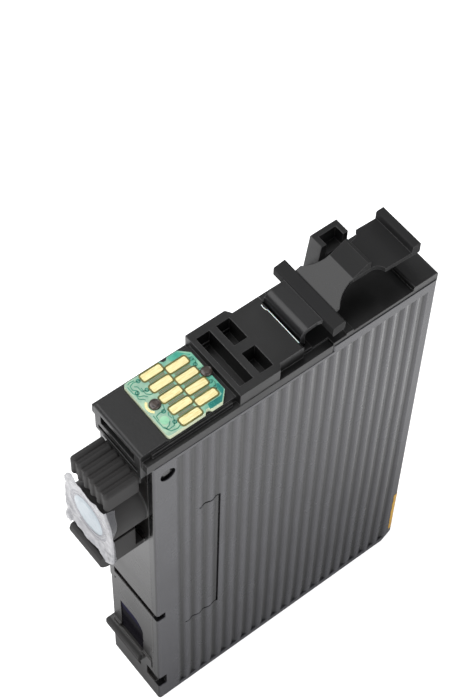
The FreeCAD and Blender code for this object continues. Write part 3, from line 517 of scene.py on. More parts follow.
@dataclass(frozen=True)
class WovenSteel(Finish):
    """Plain-woven stainless wire cloth: a fine bright check, with its holes painted dark as painted shade."""

    wire_width: float = 0.3

    def shade(self, add: AddNode, place: Socket) -> Socket:
        """Wires both ways across Y and Z, with the holes between them painted dark as painted shade."""
        # Real wires are about 0.025 mm wide. They are drawn 0.3 mm wide, so that they show.
        waves = [add("TexWave", {"Vector": place, "Scale": per_mm(self.wire_width) / WAVE_TURN}, "Fac",
                     bands_direction=axis) for axis in "YZ"]
        wires = add("Math", waves, operation="MAXIMUM")
        shown = add("MapRange", [wires, *MIDDLE])
        # The holes' dark colour is painted shade.
        return add("BsdfPrincipled", {
            "Base Color": add("Mix", {0: shown, 6: "#1C1C1D", 7: "#BDBEBF"}, **BLEND), "Metallic": 1.0,
            "Roughness": 0.3,
            "Normal": add("Bump", {"Strength": 0.8, "Distance": 0.05 * MM, "Height": wires})})


@dataclass(frozen=True)
class OpenFoam(Finish):
    """Open-cell polyurethane foam, cut: matt and full of small pores, painted darker as painted shade in
    them.
    """

    colour: str = "#E6E6E2"
    pore_shade: str = "#8C8C8A"

    def shade(self, add: AddNode, place: Socket) -> Socket:
        """Pores painted darker in a pale matt body, as painted shade."""
        # Cells are near 0.15 mm. They are drawn at 0.35 mm, so that the pores show.
        cells = add("TexVoronoi", {"Vector": place, "Scale": per_mm(0.35)}, "Distance")
        pores = add("MapRange", [cells, 0.1, 0.5, 1.0, 0.0])
        return add("BsdfPrincipled", {
            "Base Color": add("Mix", {0: pores, 6: self.colour, 7: self.pore_shade}, **BLEND),
            "Roughness": 0.95, "IOR": 1.4,
            "Normal": add("Bump", {"Strength": 0.9, "Distance": 0.08 * MM, "Height": cells})})


@dataclass(frozen=True)
class SealFilm(Finish):
    """Peelable laminate film: milky grey, darker in the rings where the sealing tool
    pressed it, and bluer where the pale foam shows through. Each ring is a step past
    the foam's radius, a width and a strength."""

    axis_z: float = 58.9
    foam_radius: float = 3.25
    foam_fade: float = 0.12
    rings: tuple[tuple[float, float, float], ...] = ((0.14, 0.26, 1.0), (0.66, 0.2, 0.95))
    ring_colour: str = "#5F6068"
    fold_x: float = -30.25
    fold_fade: float = 0.2
    fold_colour: str = "#4A4B50"

    def shade(self, add: AddNode, place: Socket) -> Socket:
        """Colour by distance from the outlet's middle: foam disc, pressed rings and skirt, with painted light
        and shade on the skirt's wrinkles. The fold behind the mouth lies on black, and shows it through."""
        centred = add("Mapping", {"Vector": place, "Location": (0, 0, -self.axis_z * MM), "Scale": (0, 1, 1)})
        reach = add("VectorMath", [centred], "Value", operation="LENGTH")
        clouds = add("TexNoise", {"Vector": place, "Scale": per_mm(1.8), "Detail": 3.0})
        creases = add("TexNoise", {"Vector": place, "Scale": per_mm(1.1), "Detail": 3.0})
        disc = add("Mix", {0: clouds, 6: "#99A5AD", 7: "#8C989F"}, **BLEND)
        # Painted light and shade on the wrinkles: the skirt's colour follows the same noise as their bump.
        skirt = add("Mix", {0: add("MapRange", [creases, *MIDDLE]), 6: "#A2A2A4", 7: "#7C7C80"}, **BLEND)
        rim = add("MapRange", [reach, self.foam_radius * MM, (self.foam_radius + self.foam_fade) * MM])
        colour = add("Mix", {0: rim, 6: disc, 7: skirt}, **BLEND)
        for step, width, strength in self.rings:
            off = add("Math", [reach, (self.foam_radius + step) * MM], operation="SUBTRACT")
            near = add("Math", [off], operation="ABSOLUTE")
            line = add("MapRange", [near, width * 0.5 * MM, width * 1.4 * MM, strength, 0.0])
            colour = add("Mix", {0: line, 6: colour, 7: self.ring_colour}, **BLEND)
        folded = add("MapRange", [add("SeparateXYZ", [place]), self.fold_x * MM,
                                  (self.fold_x + self.fold_fade) * MM])
        return add("BsdfPrincipled", {
            "Base Color": add("Mix", {0: folded, 6: colour, 7: self.fold_colour}, **BLEND),
            "Roughness": add("MapRange", [clouds, *MIDDLE, 0.12, 0.26]), "IOR": 1.5,
            "Transmission Weight": add("MapRange", [folded, 0.0, 1.0, 0.06, 0.6]),
            "Normal": add("Bump", {"Strength": 0.8, "Distance": 0.07 * MM, "Height": creases})})


@dataclass(frozen=True)
class ClearFilm(Finish):
    """Clear barrier film, laminated: see-through, with soft waves from its heat seal."""

    colour: str = "#E9EBEC"
    haze: str = "#D5D9DC"
    transmission: float = 0.85
    roughness: float = 0.18

    def shade(self, add: AddNode, place: Socket) -> Socket:
        """Nearly clear, with a soft wave and a little haze."""
        waves = add("TexNoise", {"Vector": place, "Scale": per_mm(3.0)})
        return add("BsdfPrincipled", {
            "Base Color": add("Mix", {0: waves, 6: self.colour, 7: self.haze}, **BLEND),
            "Roughness": add("MapRange", [waves, *MIDDLE, self.roughness - 0.05, self.roughness + 0.1]),
            "IOR": 1.5, "Transmission Weight": self.transmission,
            "Normal": add("Bump", {"Strength": 0.5, "Distance": 0.06 * MM, "Height": waves})})


@dataclass(frozen=True)
class PrismPlastic(Finish):
    """Clear polypropylene prism, mould-polished. Seen from outside it is dark, because its roof shows the
    dark ink chamber behind it, with a painted blue-violet glint towards its top. Its own shine is kept low,
    since the ledge and the recess shade it."""

    dark: str = "#111014"
    cast: str = "#21203A"
    cast_from: float = 15.8
    cast_full: float = 18.4

    def shade(self, add: AddNode, place: Socket) -> Socket:
        """A painted blue-violet glint at its top, and near black below."""
        # The blue-violet towards the top is a painted glint.
        rise = add("MapRange", [add("SeparateXYZ", [place], 2), self.cast_from * MM, self.cast_full * MM])
        waves = add("TexNoise", {"Vector": place, "Scale": per_mm(1.5)})
        return add("BsdfPrincipled", {
            "Base Color": add("Mix", {0: rise, 6: self.dark, 7: self.cast}, **BLEND),
            "Roughness": add("MapRange", [waves, 0.0, 1.0, 0.05, 0.14]),
            "Specular IOR Level": 0.002, "IOR": 1.49,
            "Normal": add("Bump", {"Strength": 0.2, "Distance": 0.02 * MM, "Height": waves})})


@dataclass(frozen=True)
class AmberTape(Finish):
    """Amber polyester tape: glossy, yellow-brown, with deeper blotches."""

    colour: str = "#C99A22"
    deep: str = "#B4861C"

    def shade(self, add: AddNode, place: Socket) -> Socket:
        """Amber with lines that run up it and darker blotches."""
        drawn = add("Mapping", {"Vector": place, "Scale": (1.0, 1.0, 0.25)})
        lines = add("TexNoise", {"Vector": drawn, "Scale": per_mm(0.6), "Detail": 3.0})
        blotch = add("TexNoise", {"Vector": place, "Scale": per_mm(7.0)})
        deep = add("MapRange", [blotch, *MIDDLE])
        return add("BsdfPrincipled", {
            "Base Color": add("Mix", {0: deep, 6: self.colour, 7: self.deep}, **BLEND),
            "Roughness": add("MapRange", [blotch, *MIDDLE, 0.16, 0.26]), "IOR": 1.57,
            "Normal": add("Bump", {"Strength": 0.5, "Distance": 0.02 * MM, "Height": lines})})


@dataclass(frozen=True)
class PorousSheet(Finish):
    """Stretched fluoropolymer membrane: dead white and matt, with a fibrous face."""

    def shade(self, add: AddNode, place: Socket) -> Socket:
        """White with fine fibres."""
        fibres = add("TexNoise", {"Vector": place, "Scale": per_mm(0.2), "Detail": 5.0})
        return add("BsdfPrincipled", {
            "Base Color": add("Mix", {0: fibres, 6: "#E8E8E6", 7: "#CDCDCB"}, **BLEND),
            "Roughness": 0.85, "IOR": 1.38,
            "Normal": add("Bump", {"Strength": 0.6, "Distance": 0.02 * MM, "Height": fibres})})


@dataclass(frozen=True)
class StudioPaper(Finish):
    """White paper floor. It keeps the object's shadow, and shows white to the camera, in reflections and
    through clear pieces. Reflections see painted shade on it close to the object's footprint, fading out
    further away."""

    glow: float = 0.55
    mirrored: float = 0.6
    footprint: Point2 = (24.0, 6.0)
    shade_reach: float = 34.0
    shade_depth: float = 0.74

    def shade(self, add: AddNode, place: Socket) -> Socket:
        """A matt floor with a white that only camera, glossy and transmission rays see."""
        glossy, through, seen = (add("LightPath", read=f"Is {ray} Ray")
                                 for ray in ("Glossy", "Transmission", "Camera"))
        other = add("Math", [glossy, through], operation="MAXIMUM")
        foot = (self.footprint[0] * MM, self.footprint[1] * MM, 0)
        aside = place
        for operation, values in (("ABSOLUTE", []), ("SUBTRACT", [foot]), ("MAXIMUM", [(0, 0, -1)]),
                                  ("MULTIPLY", [(1, 1, 0)])):
            aside = add("VectorMath", [aside, *values], operation=operation)
        away = add("VectorMath", [aside], "Value", operation="LENGTH")
        # Painted shade: darker near the object's footprint, for reflections only.
        near_shade = add("MapRange", [away, 0.0, self.shade_reach * MM, self.shade_depth, 0.0])
        shaded = add("Math", [near_shade, other], operation="MULTIPLY")
        mirrored = add("Math", [other, self.mirrored], operation="MULTIPLY")
        strength = add("Math", [seen, self.glow, mirrored], operation="MULTIPLY_ADD")
        left = add("Math", [1.0, shaded], operation="SUBTRACT")
        glow = add("Emission", {"Strength": add("Math", [strength, left], operation="MULTIPLY")})
        fibres = add("TexNoise", {"Vector": place, "Scale": per_mm(2.5), "Detail": 3.0})
        paper = add("Mix", {0: fibres, 6: "#E6E6E6", 7: "#E2E2E3"}, **BLEND)
        paper = add("Mix", {0: shaded, 6: paper, 7: "#000000"}, **BLEND)
        return add("AddShader", [glow, add("BsdfDiffuse", {"Color": paper})])


def dress(nodes: dict[str, Piece], finishes: dict[str, Finish]) -> None:
    """Gives frame nodes their finishes.

    Args:
        nodes: the frame's objects by node name.
        finishes: a finish for each node name.
    """
    for name, finish in finishes.items():
        for slot in nodes[name].material_slots:
            slot.material = finish.material()
        LOG.info("%s: %s", name, finish.name)


def enrol(piece: Piece, body: Body, finish: Finish | None = None) -> None:
    """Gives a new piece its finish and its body.

    Args:
        piece: the finished piece.
        body: the body that it rides on.
        finish: its finish, or none if its mesh has one already.
    """
    if finish is not None:
        piece.data.materials.clear()
        piece.data.materials.append(finish.material())
    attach(piece, body.value)
    LOG.info("%s: %d faces on %s", piece.name, len(piece.data.polygons), body.value)


# Lines drawn by Geometry Nodes

def line_tree(shape: LineShape) -> Tree:
    """Builds the tree that draws a flat raised line.

    Args:
        shape: what it draws from the guide mesh.

    Returns:
        A Geometry Nodes tree with named inputs for its sizes.
    """
    tree = bpy.data.node_groups.new(f"line {shape.name.lower()}", "GeometryNodeTree")
    sizes = [(name, "Float") for name in ("Length", "Width", "Corner", "Line Width", "Line Height")]
    for name, kind in [("Geometry", "Geometry"), *sizes, ("Material", "Material")]:
        tree.interface.new_socket(name, in_out="INPUT", socket_type=f"NodeSocket{kind}")
    tree.interface.new_socket("Geometry", in_out="OUTPUT", socket_type="NodeSocketGeometry")
    given = tree.nodes.new("NodeGroupInput").outputs
    add = partial(add_node, tree, "GeometryNode")
    if shape is LineShape.RING:
        curve = add("CurvePrimitiveCircle", {"Resolution": 16, "Radius": given["Length"]})
    elif shape is LineShape.SLOT:
        curve = add("CurvePrimitiveQuadrilateral", {"Width": given["Length"], "Height": given["Width"]})
    else:
        curve = add("MeshToCurve", {"Mesh": given["Geometry"]})
    if shape is not LineShape.RING:
        curve = add("FilletCurve", {"Curve": curve, "Count": 4, "Radius": given["Corner"],
                                    "Limit Radius": True}, mode="POLY")
    level = add("SetCurveNormal", {"Curve": curve}, mode="Z_UP")
    profile = add("CurvePrimitiveQuadrilateral", {"Width": given["Line Width"],
                                                  "Height": given["Line Height"]})
    drawn = add("CurveToMesh", {"Curve": level, "Profile Curve": profile, "Fill Caps": True})
    if shape is not LineShape.PATH:
        points = add("MeshToPoints", {"Mesh": given["Geometry"]})
        drawn = add("InstanceOnPoints", {"Points": points, "Instance": drawn})
    whole = add("RealizeInstances", {"Geometry": drawn})
    dressed = add("SetMaterial", {"Geometry": whole, "Material": given["Material"]})
    add_node(tree, "NodeGroup", "Output", {"Geometry": dressed})
    return tree


def draw_lines(name: str, shape: LineShape, guides: Sequence[Sequence[Point3]], sizes: dict[str, float],
               finish: Finish) -> Piece:
    """Draws raised lines on a surface.

    Args:
        name: the piece's name.
        shape: what is drawn from the guides.
        guides: runs of points. A path follows each run.
        sizes: millimetres for the tree's named inputs.
        finish: the lines' finish.

    Returns:
        The lines as one plain mesh.
    """
    guide = bmesh.new()
    for run in guides:
        points = [guide.verts.new(Vector(p) * MM) for p in run]
        if shape is LineShape.PATH:
            for pair in zip(points, points[1:]):
                guide.edges.new(pair)
    piece = settle(name, guide)
    grower = piece.modifiers.new("lines", "NODES")
    grower.node_group = line_tree(shape)
    for item in grower.node_group.interface.items_tree:
        if item.in_out == "INPUT" and item.name in sizes:
            grower[item.identifier] = sizes[item.name] * MM
        elif item.name == "Material":
            grower[item.identifier] = finish.material()
    return plain_mesh(piece)


# Sub-assemblies

@dataclass
class Shell:
    """The case tray, the ribbed cover, and the air path's film on the far side."""

    tray: TrayMoulding = TrayMoulding(
        # The tray's pale edge colour is partly wear and partly painted highlight.
        "moulded polypropylene, satin black", colour="#0A0808", bloom="#131110", edge="#25211F", sheen=0.6,
        ior=1.5, roughness=0.28, edge_radius=0.2)
    # The cover's grey colour and bloom are painted sheen on the rib crests. Its grooves are painted black as
    # painted shade.
    cover: RibbedMoulding = RibbedMoulding(
        "moulded polystyrene, ribbed black", colour="#36363A", bloom="#434347", edge="#313135", sheen=0.32,
        ior=1.55, roughness=0.24, edge_radius=0.1)

    def build(self, nodes: dict[str, Piece]) -> None:
        """Dresses the shell's mouldings."""
        dress(nodes, {
            "case_tray": self.tray, "side_cover": self.cover,
            "air_path_film": ClearFilm("polyester film, sealed over the air path", transmission=0.7),
            "vent_membrane": PorousSheet("stretched fluoropolymer membrane"),
            "sensor_prism": PrismPlastic("polished polypropylene prism")})


@dataclass
class TopMoulding:
    """The top adapter and the sprung latch lever."""

    # The adapter's and the lever's pale edge colours are partly wear and partly painted highlight.
    adapter: BlackMoulding = BlackMoulding(
        "moulded ABS, grained black", colour="#080808", bloom="#111111", edge="#4C4C4C", sheen=0.38, ior=1.5,
        roughness=0.40, grain=0.45, grain_depth=0.02)
    lever: LeverMoulding = LeverMoulding(
        "moulded acetal, smooth black", colour="#080808", bloom="#101011", edge="#525252", sheen=0.36,
        ior=1.48, roughness=0.26, grain_depth=0.008)
    highlight_x: float = 1.27
    highlight_z: float = 75.96
    highlight_path: tuple[Point3, ...] = ((0.0, -3.95, 0.0), (0.01, -1.0, 0.0), (0.0, 2.45, 0.0),
                                      (-0.18, 2.75, 0.05), (-0.24, 3.2, 0.05), (-0.16, 3.65, 0.05))

    def flash(self) -> Piece:
        """A painted highlight along the plate's rear edge: a thin raised pale line that stands in for the
        light its rounded edge catches.
        """
        run = [(self.highlight_x + x, y, self.highlight_z + rise) for x, y, rise in self.highlight_path]
        # Painted highlight: a pale raised line on the plate's rear edge.
        return draw_lines("plate_edge_highlight", LineShape.PATH, [run],
                          {"Corner": 0.12, "Line Width": 0.12, "Line Height": 0.07},
                          NaturalMoulding("painted edge highlight", "#E8E8E6", "#C9C9C7", 0.25))

    def build(self, nodes: dict[str, Piece]) -> None:
        """Dresses the two top mouldings, and lays the painted highlight along the plate's rear edge."""
        dress(nodes, {"top_adapter": self.adapter, "latch_lever": self.lever})
        enrol(self.flash(), Body.SHELL)


@dataclass
class ContactBoard:
    """The board with what is printed and plated on it, and its melted stakes. Places
    on it are measured from its front edge and its middle line."""

    start_x: float = -20.6
    top_z: float = 75.6
    pad_pitch: float = 2.05
    pad_size: Point2 = (3.3, 1.3)
    pad_rows: tuple[tuple[float, int], ...] = ((2.4, 5), (5.75, 4))
    outline_gap: float = 0.02
    outline_width: float = 0.22
    outline_height: float = 0.13
    line_height: float = 0.05
    stripe_ends: Span = (0.5, 0.35)
    stripe_share: float = 0.7
    via_places: tuple[Point2, ...] = (
        (1.93, 4.14), (2.03, 2.4), (1.79, -1.47), (1.99, -3.55), (9.25, -1.5), (9.3, -2.55), (9.45, 2.75),
        (9.3, 1.75), (0.75, 2.75))
    via_radius: float = 0.24
    track_runs: tuple[tuple[Point2, ...], ...] = (
        ((1.93, 4.14), (1.2, 4.3), (0.6, 4.1), (0.55, 3.4), (1.1, 3.0), (0.75, 2.75)),
        ((0.75, 2.75), (0.55, 2.2), (1.2, 1.9), (1.5, 1.5)),
        ((2.03, 2.4), (1.4, 2.5), (1.35, 3.5), (1.0, 3.75)),
        ((2.03, 2.4), (2.4, 2.05)), ((1.93, 4.14), (2.5, 4.1)),
        ((1.79, -1.47), (1.3, -1.35), (0.6, -1.5), (0.5, -2.2)),
        ((1.79, -1.47), (2.1, -1.2), (2.45, -0.3)),
        ((1.99, -3.55), (2.2, -3.0), (2.5, -2.3)),
        ((1.99, -3.55), (1.6, -3.95), (0.7, -4.0), (0.45, -3.4)),
        ((9.25, -1.5), (9.0, -1.1)), ((9.3, -2.55), (9.65, -2.0), (9.6, -1.3)), ((9.3, -2.55), (9.1, -3.0)),
        ((9.45, 2.75), (9.7, 2.2), (9.3, 1.75), (9.0, 1.3)), ((9.45, 2.75), (9.1, 3.3)),
        ((0.3, 4.2), (0.28, 3.0), (0.5, 2.6), (0.35, 1.9), (0.9, 1.45), (1.0, 1.25)),
        ((1.55, 4.5), (0.9, 4.6), (0.5, 4.45)), ((1.6, 3.1), (1.55, 2.0), (1.95, 1.55), (2.3, 1.5)),
        ((0.35, -1.2), (0.3, -2.2), (0.32, -3.4), (0.8, -4.35), (1.7, -4.55), (2.4, -4.3)),
        ((0.55, -3.7), (1.1, -3.55), (1.55, -3.1)), ((2.2, -1.9), (1.95, -2.3), (2.05, -2.9)),
        ((8.75, 0.65), (9.3, 0.95), (9.55, 0.9)), ((9.0, -0.75), (9.4, -0.95), (9.75, -0.8)))
    near_field: tuple[Point2, ...] = (
        (6.7, -4.78), (8.6, -4.78), (9.92, -3.45), (9.92, -2.3), (9.6, -2.2), (9.35, -2.95), (9.28, -3.85),
        (8.95, -3.98), (6.9, -3.98))
    far_field: tuple[Point2, ...] = (
        (7.1, 3.95), (8.95, 3.95), (9.3, 3.75), (9.55, 3.3), (9.8, 3.35), (8.5, 4.7), (7.1, 4.7))
    disc_place: Point2 = (1.1, -2.6)
    disc_radii: Span = (0.0001, 0.62)
    disc_turn: Span = (0, 359.9)
    disc_steps: int = 36
    flat_gap: float = 0.001
    flat_share: float = 0.6
    flat_round: float = 0.012
    stake_places: tuple[float, ...] = (1.5, 9.75)
    stake_radius: float = 0.82
    stake_height: float = 0.42
    head_rings: int = 12
    head_sides: int = 40
    crown_share: float = 0.88
    head_wobble: float = 0.07
    head_dish: float = 0.12
    head_lump: float = 0.08
    crescent_radii: Span = (0.95, 1.3)
    crescent_turn: Span = (125, 232)
    crescent_steps: int = 20

    def on_top(self, x: float, y: float, rise: float = 0.0) -> Point3:
        """A place on the board's top."""
        return (self.start_x + x, y, self.top_z + rise)

    def outlines(self) -> Piece:
        """The dark edge of the mask, which laps over each pad's border."""
        guide = [self.on_top(start + self.pad_size[0] / 2, (i - (count - 1) / 2) * self.pad_pitch)
                 for start, count in self.pad_rows for i in range(count)]
        sizes = {"Length": self.pad_size[0] + self.outline_gap, "Width": self.pad_size[1] + self.outline_gap,
                 "Corner": 0.36, "Line Width": self.outline_width, "Line Height": self.outline_height}
        return draw_lines("pad_outlines", LineShape.SLOT, [guide], sizes,
                          MaskOverCopper("solder mask edge, olive", "#4A4A18", "#6B6628", 0.4))

    def vias(self) -> Piece:
        """Plated holes under the mask, as dark rings."""
        return draw_lines("via_rings", LineShape.RING, [[self.on_top(x, y) for x, y in self.via_places]],
                          {"Length": self.via_radius, "Line Width": 0.16, "Line Height": self.line_height},
                          MaskOverCopper("solder mask over plated holes", "#1F6B5C", "#2E8873", 0.3))

    def tracks(self) -> Piece:
        """Copper tracks under the mask, between the holes and the pads."""
        runs = [[self.on_top(x, y) for x, y in run] for run in self.track_runs]
        return draw_lines("mask_tracks", LineShape.PATH, runs,
                          {"Corner": 0.18, "Line Width": 0.13, "Line Height": self.line_height},
                          MaskOverCopper("solder mask over tracks", "#2F7460", "#438C74", 0.3))

    def stripes(self) -> Piece:
        """Bare laminate stripes between neighbouring pads."""
        runs = []
        for start, count in self.pad_rows:
            ends = (start + self.stripe_ends[0], start + self.pad_size[0] - self.stripe_ends[1])
            for i in range(count - 1):
                y = (i - (count - 2) / 2) * self.pad_pitch
                runs.append([self.on_top(x, y) for x in ends])
        return draw_lines("bare_stripes", LineShape.PATH, runs,
                          {"Corner": 0.05, "Line Width": 0.36,
                           "Line Height": self.line_height * self.stripe_share},
                          NaturalMoulding("bare glass-epoxy laminate", "#7C8168", "#676B57", 0.5))

    def flat_piece(self, name: str, outline: Sequence[Point2], finish: Finish) -> None:
        """Lays a thin raised piece on the board, with its edges rounded over.

        Args:
            name: the piece's name.
            outline: its corners, in order.
            finish: the piece's finish.
        """
        shape = bmesh.new()
        foot, head = ([shape.verts.new(Vector(self.on_top(x, y, rise)) * MM) for x, y in outline]
                      for rise in (self.flat_gap, self.flat_gap + self.line_height * self.flat_share))
        shape.faces.new(foot)
        shape.faces.new(head)
        # Sides are added one by one, since an extrusion gives them in another order each run.
        for i, after in enumerate([*range(1, len(outline)), 0]):
            shape.faces.new((foot[i], foot[after], head[after], head[i]))
        bmesh.ops.recalc_face_normals(shape, faces=shape.faces)
        piece = settle(name, shape)
        edge = piece.modifiers.new("edge", "BEVEL")
        edge.width = self.flat_round * MM
        edge.segments = 2
        enrol(plain_mesh(piece), Body.SHELL, finish)

    def head_point(self, x: float, t: float, angle: float, seed: float) -> Point3:
        """A place on a melted head: a low uneven dome with a slightly dished middle.

        Args:
            x: the stake's place along the board.
            t: 0 at the head's middle and 1 at its rim.
            angle: the way round.
            seed: a number that picks its unevenness.

        Returns:
            The place in the part's frame.
        """
        along, across = math.cos(angle), math.sin(angle)
        wobble = 1 + self.head_wobble * ripple_at(along * 1.3, across * 1.3, seed)
        radius = self.stake_radius * wobble * math.sin(t * math.pi * 0.5)
        dome = math.cos(t * math.pi * 0.5) ** 0.55
        dish = self.head_dish * math.exp(-(t * 2.6) ** 2)
        lump = self.head_lump * ripple_at(radius * 2.2 * along, radius * 2.2 * across, seed + 3)
        rise = max(self.stake_height * (dome - dish + lump), 0.0) if t < 1 else 0.0
        return self.on_top(x + radius * along, radius * across, rise)

    def stake_head(self, name: str, x: float, seed: float) -> Piece:
        """Builds a melted stake's head.

        Args:
            name: the piece's name.
            x: its place along the board.
            seed: a number that picks its unevenness.

        Returns:
            The closed head, seated on the board.
        """
        shape = bmesh.new()
        crown = shape.verts.new(Vector(self.on_top(x, 0, self.stake_height * self.crown_share)) * MM)
        angles = [2 * math.pi * k / self.head_sides for k in range(self.head_sides)]
        rings = [[shape.verts.new(Vector(self.head_point(x, i / self.head_rings, a, seed)) * MM)
                  for a in angles] for i in range(1, self.head_rings + 1)]
        for k in range(self.head_sides):
            after = (k + 1) % self.head_sides
            shape.faces.new((crown, rings[0][k], rings[0][after]))
            for inner, outer in zip(rings, rings[1:]):
                shape.faces.new((inner[k], outer[k], outer[after], inner[after]))
        foot = shape.faces.new(rings[-1][::-1])
        bmesh.ops.recalc_face_normals(shape, faces=shape.faces)
        for face in shape.faces:
            face.smooth = face != foot
        return settle(name, shape)

    def build(self, nodes: dict[str, Piece]) -> None:
        """Dresses the board and puts its details on."""
        gold = GoldFlash("gold flash on nickel")
        dress(nodes, {"contact_board": SolderMask("solder mask on glass-epoxy board"), "contact_pads": gold,
                      "memory_chip": BlackMoulding("cast epoxy over the chip", roughness=0.2,
                                                   grain_depth=0.03, grain=0.9)})
        for piece in (self.outlines(), self.vias(), self.tracks(), self.stripes()):
            enrol(piece, Body.SHELL)
        self.flat_piece("copper_field_near", self.near_field,
                        MaskOverCopper("solder mask over solid copper"))
        self.flat_piece("copper_field_far", self.far_field,
                        MaskOverCopper("thin solder mask over copper", "#2E8A77", "#4BA189"))
        disc = arc_outline(self.disc_place, *self.disc_radii, self.disc_turn, self.disc_steps)
        self.flat_piece("test_disc", disc,
                        MaskOverCopper("solder mask over test disc", "#7FB795", "#93C3A0", 0.3))
        crescent = arc_outline((self.stake_places[0], 0.0), *self.crescent_radii, self.crescent_turn,
                               self.crescent_steps)
        self.flat_piece("stake_crescent", crescent, gold)
        melted = BlackMoulding("melted ABS stake", colour="#2A201A", bloom="#3C3029", edge="#4A3D34",
                               roughness=0.34, grain=0.5, grain_depth=0.03)
        for i, x in enumerate(self.stake_places):
            enrol(self.stake_head(f"stake_head_{i + 1}", x, 4.0 + i * 7), Body.SHELL, melted)


@dataclass
class Outlet:
    """The outlet's foam, filter and leaf, and the wrinkled film sealed over it. The
    film's edges and fold are Y and Z from the outlet's middle, with the film spread
    flat, and its lifts are forward of the mouth. The puff's edge is measured from the
    foam's radius, and each ripple is its turns in a millimetre and a seed."""

    mouth_x: float = -30.3
    axis_z: float = 58.9
    rim_radius: float = 4.6
    foam_radius: float = 3.25
    film: float = 0.05
    cells: int = 84
    seal_lift: float = 0.07
    puff: float = 0.10
    puff_edge: Span = (0.1, -0.9)
    press: float = 0.07
    press_step: float = 0.12
    press_width: float = 0.13
    slack_width: float = 1.2
    skirt_lift: float = 0.16
    skirt_wave: float = 0.2
    skin_wave: float = 0.012
    ripples: tuple[tuple[float, float], ...] = ((0.7, 2.0), (2.0, 7.0))
    fine_share: float = 0.3
    tail_lift: float = 0.25
    tail_y: Span = (-4.6, -3.9)
    tail_z: Span = (-4.9, -6.2)
    least_lift: float = 0.045
    fold_line: tuple[Point2, ...] = ((-4.95, -7.5), (-5.1, -4.8), (-5.15, -2.1), (-5.05, 0.6), (-4.75, 3.3),
                                     (-3.75, 6.0))
    fold_radius: float = 0.22
    fold_turn: float = 82
    fold_sway: float = 0.05
    top_edge: tuple[Point2, ...] = ((4.75, 4.3), (4.2, 5.7), (3.3, 6.35), (1.8, 5.75), (0.0, 5.5),
                                    (-2.0, 5.7), (-3.4, 6.0), (-4.4, 6.0), (-5.45, 5.9))
    low_edge: tuple[Point2, ...] = ((4.9, -7.5), (4.1, -7.3), (3.5, -6.3), (1.6, -5.9), (0.3, -6.3),
                                    (-1.6, -5.95), (-3.2, -6.2), (-4.3, -6.9), (-5.9, -5.5))
    far_edge: tuple[Point2, ...] = ((4.9, -7.5), (5.15, -5.0), (5.2, -2.6), (5.18, 0.0), (5.1, 2.0),
                                    (4.75, 4.3))
    near_edge: tuple[Point2, ...] = ((-5.9, -5.5), (-5.8, -3.4), (-5.7, -1.2), (-5.5, 0.9), (-6.0, 2.5),
                                     (-5.8, 4.2), (-5.45, 5.9))

    def sheet_point(self, u: float, v: float) -> Point2:
        """A place on the flat film, blended from its four edges.

        Args:
            u: from the far edge, 0, to the near one, 1.
            v: from the low edge, 0, to the top one, 1.

        Returns:
            Y and Z from the outlet's middle.
        """
        low, top = spline_at(self.low_edge, u), spline_at(self.top_edge, u)
        far, near = spline_at(self.far_edge, v), spline_at(self.near_edge, v)
        corners = (self.low_edge[0], self.low_edge[-1], self.top_edge[0], self.top_edge[-1])
        across = [(1 - v) * low[k] + v * top[k] + (1 - u) * far[k] + u * near[k]
                  - (1 - u) * (1 - v) * corners[0][k] - u * (1 - v) * corners[1][k]
                  - (1 - u) * v * corners[2][k] - u * v * corners[3][k] for k in (0, 1)]
        return (across[0], across[1])

    def fold_at(self, z: float) -> float:
        """Where the film turns back round the tube, at a height from the outlet's middle."""
        low, high = self.fold_line[0][1], self.fold_line[-1][1]
        return spline_at(self.fold_line, min(max((z - low) / (high - low), 0.0), 1.0))[0]

    def film_point(self, u: float, v: float) -> Point3:
        """A place on the film as it lies: sealed on the rim, puffed in the middle,
        wrinkled outside, and folded back along its near side.

        Args:
            u: from the far edge, 0, to the near one, 1.
            v: from the low edge, 0, to the top one, 1.

        Returns:
            The place in the part's frame.
        """
        y, z = self.sheet_point(u, v)
        reach = math.hypot(y, z)
        loose = smooth_step(self.rim_radius, self.rim_radius + self.slack_width, reach)
        inside = smooth_step(*(self.foam_radius + step for step in self.puff_edge), reach)
        ring = math.exp(-((reach - self.foam_radius - self.press_step) / self.press_width) ** 2)
        wide, fine = (ripple_at(y * turns, z * turns, seed) for turns, seed in self.ripples)
        ripple = wide + self.fine_share * fine
        lift = (self.seal_lift + self.puff * inside - self.press * ring
                + loose * (self.skirt_lift + self.skirt_wave * ripple) + self.skin_wave * ripple)
        lift += self.tail_lift * smooth_step(*self.tail_z, z) * smooth_step(*self.tail_y, y)
        x = self.mouth_x - max(lift, self.least_lift)
        fold = self.fold_at(z)
        past = fold - y
        if past > 0:
            turn = min(past / self.fold_radius, 1.0) * math.radians(self.fold_turn)
            straight = max(past - self.fold_radius, 0.0)
            x += self.fold_radius * (1 - math.cos(turn)) + straight * math.sin(turn)
            y = fold - self.fold_radius * math.sin(turn) - straight * math.cos(turn)
            y -= self.fold_sway * ripple * min(straight, 1.0)
        return (x, y, self.axis_z + z)

    def build(self, nodes: dict[str, Piece]) -> None:
        """Dresses the outlet's pieces and hangs the film."""
        film = SealFilm("heat-sealed laminate film")
        dress(nodes, {"outlet_foam": OpenFoam("open-cell polyurethane foam"),
                      "outlet_filter": WovenSteel("plain-woven stainless cloth"),
                      "outlet_leaf_spring": SpringSteel("rolled stainless leaf", roughness=0.3),
                      "outlet_seal": film})
        seal = walled_sheet("seal_film_wrinkled", self.cells, self.cells, self.film_point, -1, self.film)
        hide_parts("outlet_seal")
        enrol(seal, Body.SHELL, film)


